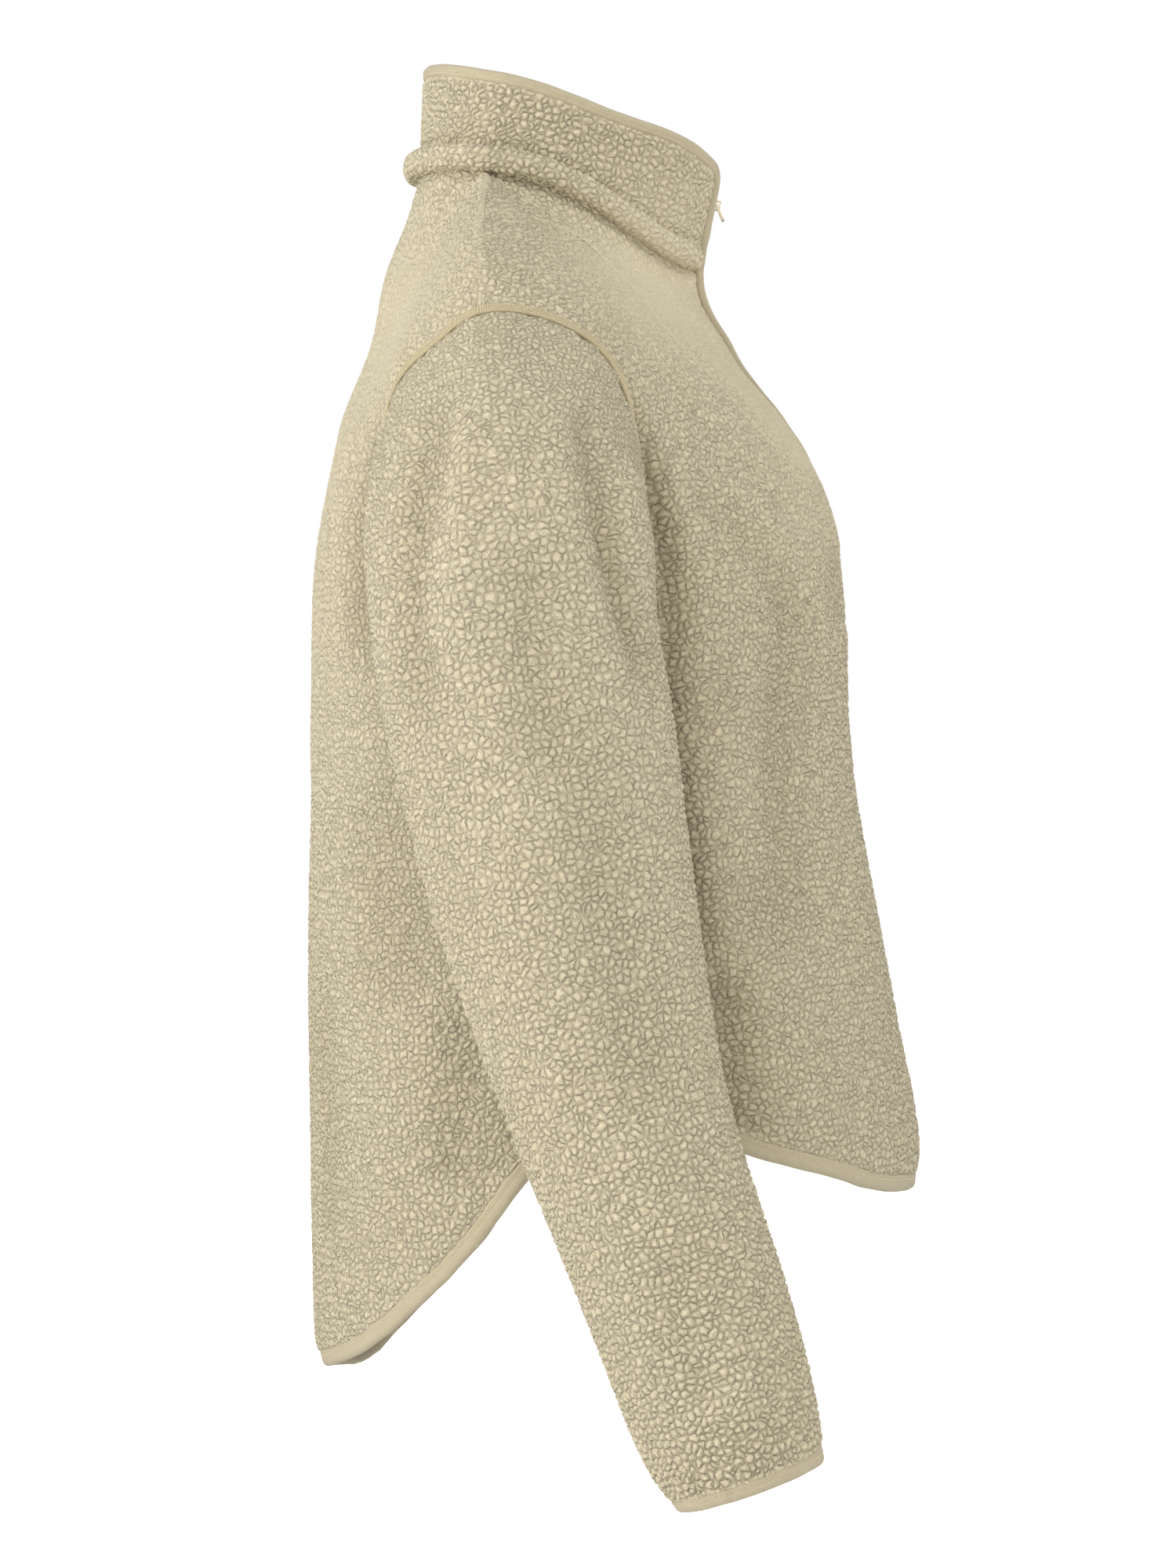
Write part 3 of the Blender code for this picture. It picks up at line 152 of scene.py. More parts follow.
ShoulderPoint = namedtuple("ShoulderPoint", "share x y z")
SHOULDER = [ShoulderPoint(*row) for row in (
    (0.00, 0.080, 0.0340, -0.0035),
    (0.30, 0.131, 0.0340, -0.0230),
    (0.60, 0.181, 0.0345, -0.0480),
    (0.80, 0.211, 0.0345, -0.0675),
    (1.00, 0.234, 0.0340, -0.0908),
)]

# The armhole runs from the shoulder's tip to the underarm, once over the front and once over the
# back. turn is how far the body's section has turned from straight across when it gets there.
ArmholePoint = namedtuple("ArmholePoint", "share x y z turn")
FRONT_ARMHOLE = [ArmholePoint(*row) for row in (
    (0.00, 0.2340, 0.0340, -0.0908, 46),
    (0.03, 0.2340, 0.0265, -0.0895, 46),
    (0.07, 0.2335, 0.0150, -0.0896, 47),
    (0.15, 0.2285, -0.0100, -0.0965, 49),
    (0.24, 0.2190, -0.0310, -0.1120, 53),
    (0.34, 0.2100, -0.0430, -0.1390, 59),
    (0.45, 0.2035, -0.0490, -0.1720, 66),
    (0.57, 0.1995, -0.0505, -0.2070, 73),
    (0.70, 0.1975, -0.0440, -0.2430, 80),
    (0.84, 0.1975, -0.0235, -0.2760, 86),
    (1.00, 0.2000, 0.0080, -0.2980, 90),
)]
BACK_ARMHOLE = [ArmholePoint(*row) for row in (
    (0.00, 0.2340, 0.0340, -0.0908, 46),
    (0.04, 0.2320, 0.0428, -0.0953, 47),
    (0.09, 0.2285, 0.0535, -0.1040, 49),
    (0.21, 0.2190, 0.0725, -0.1215, 54),
    (0.33, 0.2100, 0.0815, -0.1480, 60),
    (0.46, 0.2035, 0.0820, -0.1800, 66),
    (0.60, 0.1995, 0.0760, -0.2170, 73),
    (0.74, 0.1975, 0.0610, -0.2520, 80),
    (0.87, 0.1980, 0.0370, -0.2810, 86),
    (1.00, 0.2000, 0.0080, -0.2980, 90),
)]

# Heights of the yoke's rows on the front and back centre lines.
YokeRow = namedtuple("YokeRow", "share front_z back_z")
YOKE = [YokeRow(*row) for row in (
    (0.000, -0.0515, -0.0005),
    (0.250, -0.1015, -0.0750),
    (0.583, -0.1810, -0.1740),
    (0.800, -0.2430, -0.2385),
    (1.000, UNDERARM_Z, UNDERARM_Z),
)]

# Height of the bound hem's lowest edge, by how far forward or back it lies.
HemPoint = namedtuple("HemPoint", "y z")
HEM = [HemPoint(*row) for row in (
    (-0.1950, -0.5415),
    (-0.1750, -0.5400),
    (-0.1600, -0.5355),
    (-0.1300, -0.5230),
    (-0.1000, -0.5120),
    (-0.0700, -0.5010),
    (-0.0450, -0.4930),
    (-0.0200, -0.5020),
    (0.0075, -0.5290),
    (0.0345, -0.5655),
    (0.0720, -0.6050),
    (0.0950, -0.6250),
    (0.1250, -0.6400),
)]

# ---------------------------------------------------------------- the sleeve
# Rings from the armhole to the cuff. swing is how far a ring's outer side is still turned up
# towards the shoulder, and lean how far the arm below it is carried forward, in degrees.
Ring = namedtuple("Ring", "share x y z swing lean half_depth half_width")
SLEEVE = [Ring(*row) for row in (
    (0.00, 0.2180, 0.0160, -0.1940, 80, 0.0, 0.0665, 0.1050),
    (0.05, 0.2480, 0.0177, -0.2175, 62, 2.0, 0.0685, 0.0887),
    (0.10, 0.2620, 0.0155, -0.2480, 45, 4.5, 0.0703, 0.0727),
    (0.15, 0.2655, 0.0105, -0.2800, 28, 7.0, 0.0705, 0.0605),
    (0.20, 0.2665, 0.0045, -0.3100, 14, 9.0, 0.0692, 0.0548),
    (0.26, 0.2680, -0.0030, -0.3500, 4, 11.0, 0.0667, 0.0522),
    (0.35, 0.2700, -0.0139, -0.4000, 0, 13.5, 0.0624, 0.0505),
    (0.45, 0.2730, -0.0264, -0.4500, 0, 15.5, 0.0570, 0.0485),
    (0.55, 0.2750, -0.0411, -0.5000, 0, 18.0, 0.0524, 0.0465),
    (0.66, 0.2770, -0.0589, -0.5500, 0, 19.3, 0.0500, 0.0445),
    (0.78, 0.2780, -0.0767, -0.6000, 0, 19.4, 0.0482, 0.0425),
    (0.89, 0.2790, -0.0897, -0.6400, 0, 19.4, 0.0450, 0.0400),
    (1.00, 0.2790, -0.0985, -0.6631, 0, 19.5, 0.0395, 0.0365),
)]
SLEEVE_TOP_ANGLE = -15.0  # the shoulder's tip lies this far back of the sleeve's top line
CAP_FADE = 0.20  # share of the sleeve over which the armhole's own shape fades out
CAP_FOLD_FADE = 0.06  # share over which the folds begin
CAP_BULGE = 0.0034  # how far the cap stands forward and back of its seam, lower down
CAP_BULGE_PLACE = (0.045, 0.035)  # share of the sleeve where it is fullest, and its reach
CAP_BULGE_OFF_TOP = 0.06  # distance from the shoulder's tip over which it begins
HIDDEN_SEAM = (-0.134, 0.014)  # height below which the cap hides its seam, and over how much

# ---------------------------------------------------------------- the collar
COLLAR_HALF_WIDTH = 0.0735
COLLAR_SIDE_Y = 0.020
COLLAR_FRONT_Y = -0.0935
COLLAR_BACK_Y = 0.0668
CollarHeight = namedtuple("CollarHeight", "y z")
COLLAR_HEIGHTS = [CollarHeight(*row) for row in (
    (-0.0935, 0.0030),
    (-0.0885, 0.0070),
    (-0.0820, 0.0116),
    (-0.0730, 0.0165),
    (-0.0600, 0.0211),
    (-0.0440, 0.0255),
    (-0.0270, 0.0314),
    (0.0070, 0.0435),
    (0.0340, 0.0496),
    (0.0668, 0.0570),
)]
# The raised roll at the collar's foot, as (outwards, upwards) in its section.
ROLL_SECTION = (
    (0.0030, -0.0024),
    (0.0064, -0.0022),
    (0.0088, 0.0010),
    (0.0092, 0.0056),
    (0.0070, 0.0098),
    (0.0030, 0.0113),
    (-0.0004, 0.0120),
    (0.0003, 0.0150),
)
ROLL_AT_ZIP = 0.12  # the roll flattens towards the zip
ROLL_FADE = 0.034
FOOT_OVERLAP = 0.0036  # how far the collar's foot reaches below the neck seam

# ---------------------------------------------------------------- the zip
SLIDER_Z = -0.0155
SLIDER_HALF_LENGTH = 0.00475
TAPE_DEPTH = 0.0055  # of its middle, below the cloth's outer face
TAPE_THICKNESS = 0.0006
TAPE_EDGES = (0.0012, 0.0138)
TAPE_SLANT = 0.0024  # how much deeper its outer edge lies, behind the cloth
TAPE_BELOW = 0.0060  # past the slit's end
TAPE_TOP = 0.0040  # short of the collar's top
TAPE_LENGTH = 0.188  # as stated for its flat size, about 3 mm more than the tape that is built
COIL_DEPTH = 0.0034  # of its middle, below the cloth's outer face
TOOTH_PITCH = 0.0013
TOOTH_LENGTH = 0.0034
TOOTH_WIDTH = 0.0009
MESHED_TEETH = 0.0008  # how far a tooth lies off the middle where the zip is closed
PARTED_TEETH = 0.0021  # and where it is open
PARTED_TOP = 0.001  # between the last tooth and the tape's end
STOP_LENGTH = 0.0030

# ---------------------------------------------------------------- the folds
# Each lies along a short line, seen from the side as (y, z) or from the front or back as (x, z).
# depth is how far it is pushed in (less than 0) or stands out, width how far it spreads each way.
Fold = namedtuple("Fold", "name depth width line")
SLEEVE_FOLDS = (
    Fold("back_of_cap", -0.0062, 0.011, (
        (0.046, -0.110), (0.051, -0.150), (0.064, -0.215), (0.063, -0.262), (0.056, -0.315),
    )),
    Fold("beside_cap", 0.0040, 0.012, ((0.043, -0.125), (0.042, -0.190), (0.048, -0.270))),
    Fold("cap_crease", -0.0030, 0.0055, ((0.057, -0.128), (0.064, -0.170), (0.070, -0.214))),
    Fold("across_bicep", -0.0070, 0.0085, (
        (-0.019, -0.122), (-0.026, -0.174), (-0.034, -0.215), (-0.043, -0.246), (-0.058, -0.292),
    )),
    Fold("bicep_crease", -0.0032, 0.0042, ((-0.029, -0.182), (-0.037, -0.222), (-0.048, -0.262))),
    Fold("front_of_bicep", 0.0045, 0.0080, ((-0.041, -0.160), (-0.051, -0.206), (-0.060, -0.246))),
    Fold("mid_sleeve", -0.0045, 0.018, ((0.008, -0.200), (0.003, -0.262), (-0.010, -0.330))),
    Fold("down_forearm", -0.0036, 0.016, ((-0.018, -0.290), (-0.030, -0.385), (-0.058, -0.500))),
    Fold("behind_elbow", -0.0012, 0.013, ((0.052, -0.290), (0.047, -0.340), (0.032, -0.405))),
    Fold("elbow_ridge", 0.0025, 0.015, ((0.020, -0.330), (0.006, -0.430), (-0.016, -0.500))),
    Fold("above_cuff", -0.0025, 0.014, ((-0.058, -0.545), (-0.082, -0.635))),
    Fold("at_cuff", 0.0018, 0.012, ((-0.090, -0.585), (-0.104, -0.640))),
)
FRONT_FOLDS = (
    Fold("beside_sleeve", -0.0115, 0.0040, (
        (0.208, -0.108), (0.200, -0.150), (0.195, -0.195), (0.191, -0.286), (0.187, -0.387), (0.182, -0.450),
    )),
    Fold("from_bust", -0.0058, 0.019, (
        (0.132, -0.205), (0.145, -0.290), (0.161, -0.370), (0.164, -0.425),
    )),
    Fold("beside_bust", 0.0042, 0.013, ((0.166, -0.245), (0.172, -0.320), (0.170, -0.390))),
    Fold("under_bust", -0.0040, 0.020, ((0.070, -0.195), (0.078, -0.245))),
    Fold("above_hem", -0.0100, 0.0065, ((0.182, -0.415), (0.181, -0.470), (0.179, -0.520))),
    Fold("centre_ridge", 0.0030, 0.020, ((0.096, -0.260), (0.104, -0.380), (0.116, -0.480))),
    Fold("down_front", -0.0030, 0.024, ((0.036, -0.300), (0.030, -0.490))),
    Fold("armhole_drag", -0.0035, 0.010, ((0.184, -0.165), (0.150, -0.215), (0.128, -0.245))),
    Fold("chest_crease", -0.0022, 0.008, ((0.172, -0.128), (0.140, -0.170), (0.112, -0.190))),
)
BACK_FOLDS = (
    Fold("beside_sleeve", -0.0085, 0.014, (
        (0.184, -0.112), (0.173, -0.160), (0.168, -0.225), (0.170, -0.285),
    )),
    Fold("blade", 0.0040, 0.018, ((0.140, -0.130), (0.132, -0.240))),
    Fold("waist", -0.0045, 0.017, ((0.150, -0.320), (0.163, -0.395), (0.160, -0.450))),
    Fold("to_hem", -0.0065, 0.008, ((0.186, -0.430), (0.183, -0.470), (0.172, -0.540))),
    Fold("beside_hem", 0.0035, 0.014, ((0.156, -0.440), (0.140, -0.570))),
    Fold("low_back", -0.0040, 0.022, ((0.098, -0.420), (0.088, -0.580))),
    Fold("down_back", -0.0035, 0.026, ((0.036, -0.300), (0.046, -0.540))),
    Fold("side_crease", -0.0025, 0.010, ((0.172, -0.300), (0.178, -0.380), (0.168, -0.450))),
)
FOLD_FACING = 0.5  # a fold fades out where the cloth turns away from its view
FOLD_ENDS = 0.22  # share of a fold's length over which each end fades out
FOLD_OFF_SEAM = 0.006  # distance from a seam over which a fold begins

# ---------------------------------------------------------------- the panels
# line and height name their columns in LEVELS and YOKE, and faces is the way along Y they look.
# neck_share is the share of each half's top edge that is neck.
Panel = namedtuple(
    "Panel",
    "name line height armhole folds faces fullness depth neck_y neck_share"
    " neck_columns shoulder_columns yoke_rows skirt_rows",
)
FRONT = Panel(
    name="front_panel",
    line="front_y",
    height="front_z",
    armhole=FRONT_ARMHOLE,
    folds=FRONT_FOLDS,
    faces=-1,
    fullness=2.5,
    depth=0.160,
    neck_y=NECK_FRONT_Y,
    neck_share=0.46,
    neck_columns=68,
    shoulder_columns=76,
    yoke_rows=132,
    skirt_rows=124,
)
BACK = Panel(
    name="back_panel",
    line="back_y",
    height="back_z",
    armhole=BACK_ARMHOLE,
    folds=BACK_FOLDS,
    faces=1,
    fullness=2.6,
    depth=0.118,
    neck_y=NECK_BACK_Y,
    neck_share=0.33,
    neck_columns=44,
    shoulder_columns=88,
    yoke_rows=148,
    skirt_rows=168,
)
SLEEVES = ((-1, "sleeve_right"), (1, "sleeve_left"))
SLIT_ROW = round(SLIT_SHARE * FRONT.yoke_rows)  # of the front's grid, where the slit ends
ZIP_RIGHT = FRONT.neck_columns + FRONT.shoulder_columns  # its column on the zip's right edge
ZIP_LEFT = ZIP_RIGHT + CENTRE_COLUMNS
TRUNK_MIDDLE = np.array([0.0, 0.0, -0.3])
NECK_MIDDLE = np.array([0.0, -0.01, 0.0])

# ---------------------------------------------------------------- the pile's relief, colours and painted shade
NUB_SIZE = 0.0039
CURL_SIZE = 0.0021  # of the smaller curls that part some of the nubs
CURL_SHARE = 0.30
NUB_RANDOM = 0.9
# Scale of each noise that warps the nubs, and how far it pushes them.
NUB_WARPS = ((110.0, 0.0040), (360.0, 0.0018), (1400.0, 0.0008))
NUB_SHOULDER = 0.42  # distance to a cell's border, in cells, over which a nub rounds off
NUB_CORNER = (0.20, 1.15)  # distance from its middle, in cells, over which a corner falls away
NUB_REST = 0.55  # height at which the relief neither raises nor lowers the cloth
NUB_HEIGHT = 0.0017
# reach of a crevice's painted shade from a cell's border, in cells
CREVICE_WIDTH = 0.31
NUB_FALL = 0.70  # share of its height that a nub loses from its middle to its corners
BESIDE_CREVICE = 0.52  # share of a crevice's painted shade over the nubs' sloping sides
CREVICE_SCALE = 280.0  # of the noise that lightens some crevices' painted shade and deepens some curls
CREVICE_VARY = 0.65
CREVICE_RANGE = (0.36, 0.64)  # of that noise, from no effect to its full effect
# painted shade in the curls that part some nubs
CURL_PAINTED_SHADE = 0.6
BILLOW_SCALE = 40.0
BILLOW_HEIGHT = 0.0003
FIBRE_SCALE = 2600.0
TUFT_SCALE = 900.0
TONE_SCALE = 14.0
MOTTLE_SCALE = 220.0
TONE_RANGE = (0.3, 0.7)  # of a noise, from one colour to the other
TUFT_RANGE = (0.35, 0.75)
TWIST_RANGE = (0.35, 0.65)
WORN_RANGE = (0.4, 0.7)
COURSE_PITCH = 1.3  # of a knit's rows of loops, in pitches of its columns
LOOP_GAP = 0.35  # height of a loop below which the gap beside it gets painted shade
LOOP_SHADE = 0.86  # brightness of that painted shade
KNIT_FUZZ = 0.6
KNIT_ROUGHNESS = (0.72, 0.95)
WORN_SCALE = 400.0
WORN_SHADE = 1.12
WORN_ROUGHNESS = (-0.08, 0.12)  # from the smoothest to the roughest patch
# painted shade: how far the crevices, and the folds and seam edges, are darkened towards the pile's shade
# colour
CREVICE_PAINTED_SHADE = 0.70
FOLD_PAINTED_SHADE = 0.30
TUFT_RELIEF = 0.42
FIBRE_RELIEF = 0.22
PILE_BUMP = 0.95
SEAM_TUCK = 0.0014
SEAM_WIDTH = 0.0017
SEAM_NUB = 0.45
NUB_FADE = 0.0026
# painted shade where the cloth is drawn in at seams and in the facing's groove, full at a drawing-in of
# SEAM_TUCK
SEAM_SHADE = 0.25
FACING_NUB = 0.9  # share of the pile's relief that is gone in the facing's groove
BOUND_SHARE = 0.7  # how much less the cloth is drawn in where a binding covers its edge
ZIP_DIP = 0.0036  # how far the cloth lies behind the binding on the zip's edges
ZIP_DIP_WIDTH = 0.012
SEAM_STEP = 0.0011
# fold depth at which a fold's painted shade is full
DEEPEST_FOLD = 0.0085
CREASE_PLACE = 1.05  # of the painted crease above the collar's roll, in the roll's rows
CREASE_ROWS = 1.6
# painted shade only: the crease darkens the pile as a fold this deep would, and the collar keeps its shape
PAINTED_CREASE_DEPTH = 0.0040
PILE_WARM = (0.655, 0.568, 0.380)
PILE_COOL = (0.645, 0.570, 0.392)
PILE_TIP = (0.740, 0.660, 0.475)
# the colour of the pile's painted shade
PILE_PAINTED_SHADE = (0.270, 0.220, 0.125)
BACKING = ((0.60, 0.53, 0.38), (0.56, 0.49, 0.34))  # the knit inside
BINDING = ((0.540, 0.470, 0.320), (0.500, 0.432, 0.290))
TAPE = ((0.560, 0.480, 0.320), (0.520, 0.445, 0.290))
BAND = ((0.500, 0.425, 0.260), (0.440, 0.370, 0.220))  # behind the armhole's sewing
THREAD = ((0.680, 0.590, 0.400), (0.580, 0.490, 0.310))
# thread darkened as painted shade, for the stitches sunk in the facing's groove
GROOVE_SHADED_THREAD = ((0.450, 0.385, 0.250), (0.370, 0.310, 0.195))
METAL = (0.560, 0.490, 0.340)
COIL = (0.600, 0.520, 0.360)

# Places where the pile lies calmer: middle, reach each way and the share of relief that is left.
CalmZone = namedtuple("CalmZone", "middle reach strength")
CALM_ZONES = [CalmZone(*row) for row in (
    ((-0.12, -0.06, -0.06), (0.10, 0.055, 0.055), 0.25),
    ((0.12, -0.06, -0.06), (0.10, 0.055, 0.055), 0.25),
    ((0.0, -0.14, -0.15), (0.16, 0.06, 0.07), 0.45),
    ((-0.13, 0.09, -0.07), (0.12, 0.05, 0.07), 0.25),
    ((0.13, 0.09, -0.07), (0.12, 0.05, 0.07), 0.25),
    ((0.0, 0.12, -0.15), (0.20, 0.04, 0.15), 0.55),
)]

# ---------------------------------------------------------------- bindings and sewing
# A binding's half section: share of its width off the cloth's edge, and of half its thickness.
BINDING_HALF = (
    (-0.16, 0.50),
    (0.00, 0.72),
    (0.06, 0.88),
    (0.14, 0.95),
    (0.20, 0.86),
    (0.26, 0.82),
    (0.32, 0.90),
    (0.42, 1.00),
    (0.56, 1.02),
    (0.70, 0.97),
    (0.82, 0.84),
    (0.91, 0.64),
    (0.97, 0.38),
    (1.00, 0.12),
)
STITCH_SHARE = 0.25  # of a binding's width, where its sewing runs
STITCH_PITCH = 0.0016
STITCH_LENGTH = 0.0013
STITCH_WIDTH = 0.0008
BINDING_STEP = 0.0026
BINDING_RIPPLE = 0.00035
BINDING_UNEVEN = 0.03  # share by which its width varies
BINDING_AROUND = 2 * (2 * len(BINDING_HALF) + 1)  # points round its section
RIPPLE_LENGTHS = (0.061, 0.037, 0.023)
STITCH_HEIGHT = 0.86  # of half the binding's thickness, in the groove of its face

COVER_OFFSETS = (-0.0016, 0.0004, 0.0023)  # the armhole seam's rows of thread
COVER_PITCH = 0.00125
COVER_LENGTH = 0.0012
COVER_WIDTH = 0.0010
COVER_LIFT = 0.0005
HIDDEN_SEAM_DEPTH = 0.0018  # how much deeper the band lies where the cap hides it
COVER_EDGE = 0.0004
COVER_THICKNESS = 0.0014
COVER_BAND = (-0.0026, -0.0021, -0.0013, -0.0005, 0.0, 0.0008, 0.0018, 0.0028, 0.0034)

# The sewing of the facing, seen from the side as (y, z): down from the shoulder seam, round the
# neck and under the zip.
FACING_LINE = (
    (0.0344, -0.0333),
    (0.0177, -0.0317),
    (-0.0035, -0.0353),
    (-0.0206, -0.0430),
    (-0.0328, -0.0565),
    (-0.0462, -0.0695),
    (-0.0576, -0.0854),
    (-0.0759, -0.1057),
    (-0.0971, -0.1277),
    (-0.1150, -0.1476),
    (-0.1240, -0.1570),
    (-0.1313, -0.1680),
)
FACING_GROOVE = 0.0014
FACING_WIDTH = 0.0018
FACING_CALM = 0.45  # share of the pile's relief that is pressed flat over the facing
FACING_BLEND = 0.012
FACING_FADE = 0.09  # reach of the pressing, forward from the shoulders
FACING_STEP = 0.0020
FACING_PITCH = 0.0030
FACING_LENGTH = 0.0017
FACING_THREAD = 0.0007
FACING_SINK = -0.0003

# ---------------------------------------------------------------- the studio
CAMERA_PLACE = (-3.2, -0.021, -0.3255)
IMAGE_HEIGHT = 2000  # pixels
CAMERA_FOCAL = 7619.0  # in those pixels
SENSOR_SIZE = 36.0  # millimetres, along the image's longer side
FLOOR_Z = -0.80
FLOOR_RADIUS = 9.0
FLOOR_SIDES = 96
FLOOR_COLOUR = (0.86, 0.86, 0.86)
FLOOR_GLOW = 1.0  # what the camera sees of the white floor beyond its lit colour
WORLD_LIGHT = 0.30
# Soft lamps: name, place, what each faces, size and power.
LAMPS = (
    ("low_fill", (-2.6, 0.0, -0.45), (0, 0, -0.3), 1.0, 26.0),
    ("back_high", (-1.4, 1.7, 2.0), (0, 0, -0.3), 1.5, 34.0),
    ("back_side", (-0.7, 2.7, 0.0), (0, 0, -0.3), 1.5, 40.0),
    ("front_high", (-1.4, -1.7, 2.0), (0, 0, -0.3), 1.5, 35.0),
    ("front_behind", (0.9, -2.6, 0.4), (0, 0, -0.3), 1.5, 22.0),
)

# How finely the cloth pieces' flat sizes are rounded.
LAID_STEP = 0.005  # how finely a laid-out panel's or sleeve's size is rounded
LENGTH_STEP = 0.001
WIDTH_STEP = 0.0001  # of a band
AREA_STEP = 0.001


# ---------------------------------------------------------------- curves
def spline(keys, values, at):
    """A natural cubic spline through the values, read at each place."""
    keys = np.asarray(keys, float)
    values = np.asarray(values, float)
    at = np.asarray(at, float)
    step = np.diff(keys)
    slope = np.diff(values) / step
    size = len(keys)
    matrix = np.eye(size)
    right = np.zeros(size)
    for k in range(1, size - 1):
        matrix[k, k - 1 : k + 2] = step[k - 1], 2 * (step[k - 1] + step[k]), step[k]
        right[k] = 6 * (slope[k] - slope[k - 1])
    bend = np.linalg.solve(matrix, right)
    k = np.clip(np.searchsorted(keys, at) - 1, 0, size - 2)
    before = at - keys[k]
    after = keys[k + 1] - at
    cubic = bend[k] * after**3 + bend[k + 1] * before**3
    straight = (values[k] / step[k] - bend[k] * step[k] / 6) * after
    straight += (values[k + 1] / step[k] - bend[k + 1] * step[k] / 6) * before
    return cubic / (6 * step[k]) + straight


def column(table, key, name, at):
    """One named column of a table, as a smooth curve along its key column."""
    rows = sorted(table, key=lambda row: getattr(row, key))
    keys = [getattr(row, key) for row in rows]
    values = [getattr(row, name) for row in rows]
    return spline(keys, values, at)


def track(table, at):
    """The places in a table, as a smooth line along its shares."""
    return np.stack([column(table, "share", axis, at) for axis in "xyz"], axis=-1)


def smooth_step(value):
    """0 up to 0 and 1 from 1 on, and a smooth rise between them."""
    value = np.clip(value, 0.0, 1.0)
    return value * value * (3 - 2 * value)


def even_angles(fullness, shares, width, depth):
    """Angles that divide a rounded quarter section into stretches of these shares of its length."""
    angle = np.linspace(0, math.pi / 2, ARC_STEPS)
    across = width * np.sin(angle) ** (2 / fullness)
    along = depth * np.cos(angle) ** (2 / fullness)
    stretches = np.hypot(np.diff(across), np.diff(along))
    length = np.concatenate([[0], np.cumsum(stretches)])
    return np.interp(shares, length / length[-1], angle)


def quarter(fullness, angle, turn, start_y, end_x, end_y):
    """Points of a section that leaves the centre line straight across and has turned by turn."""
    power = 2 / fullness
    end = np.radians(turn)
    part = angle * turn / 90.0
    x = end_x * np.sin(part) ** power / np.sin(end) ** power
    drop = (1 - np.cos(part) ** power) / (1 - np.cos(end) ** power)
    return x, start_y + (end_y - start_y) * drop


# ---------------------------------------------------------------- the body
def section_angle(panel, share):
    return even_angles(panel.fullness, share, SECTION_HALF_WIDTH, panel.depth)


def hem_height(x, y):
    """Height of the panel's cut edge: the bound edge, plus the binding measured along the slope."""
    low = column(HEM, "y", "z", y)
    rise = column(HEM, "y", "z", y + SLOPE_STEP) - column(HEM, "y", "z", y - SLOPE_STEP)
    slope = rise / (2 * SLOPE_STEP)
    edge = low + (HEM_BINDING_WIDTH + SEAM_GAP) * np.sqrt(1 + slope**2)
    off_side = y - column(LEVELS, "z", "side_y", HEM_LEVEL)
    for way, lean, start, over in zip((-1, 1), HEM_LEAN, HEM_LEAN_FROM, HEM_LEAN_OVER):
        part = smooth_step((way * off_side - start) / over)
        edge = edge + lean * part * np.tanh(x / HEM_LEAN_X)
    return edge


def neck_and_shoulder(panel, share):
    """The panel's top edge for the wearer's left: round the neck, then along the shoulder."""
    on_neck = np.clip(share / panel.neck_share, 0, 1)
    depth = abs(NECK_POINT_Y - panel.neck_y)
    angle = even_angles(NECK_FULLNESS, on_neck, NECK_HALF_WIDTH, depth)
    x, y = quarter(NECK_FULLNESS, angle, 90, panel.neck_y, NECK_HALF_WIDTH, NECK_POINT_Y)
    neck = np.stack([x, y, column(NECK_HEIGHTS, "y", "z", y)], axis=-1)
    along = np.clip((share - panel.neck_share) / (1 - panel.neck_share), 0, 1)
    shoulder = track(SHOULDER, along)
    return np.where((share <= panel.neck_share)[..., None], neck, shoulder)


def plain_yoke(panel, share, yoke):
    """The yoke's section from the centre line to the armhole, with no neck cut from it."""
    centre_z = column(YOKE, "share", panel.height, yoke)
    edge_x, edge_y, edge_z = np.moveaxis(track(panel.armhole, yoke), -1, 0)
    turn = column(panel.armhole, "share", "turn", yoke)
    start_y = column(LEVELS, "z", panel.line, centre_z)
    x, y = quarter(panel.fullness, section_angle(panel, share), turn, start_y, edge_x, edge_y)
    return np.stack([x, y, centre_z + (edge_z - centre_z) * share], axis=-1)


def neck_cut(panel, share, yoke):
    """What the neck and shoulder change in the plain yoke, their corner rounded off further down."""
    reach = np.minimum(CORNER_EASE * yoke, np.minimum(share, 1 - share))
    change = np.zeros((*share.shape, 3))
    for step in EASE_STEPS:
        place = share + step * reach
        change += neck_and_shoulder(panel, place) - plain_yoke(panel, place, 0 * place)
    fade = np.clip(1 - yoke / YOKE_FADE, 0, 1) ** 2
    return fade[..., None] * change / len(EASE_STEPS)


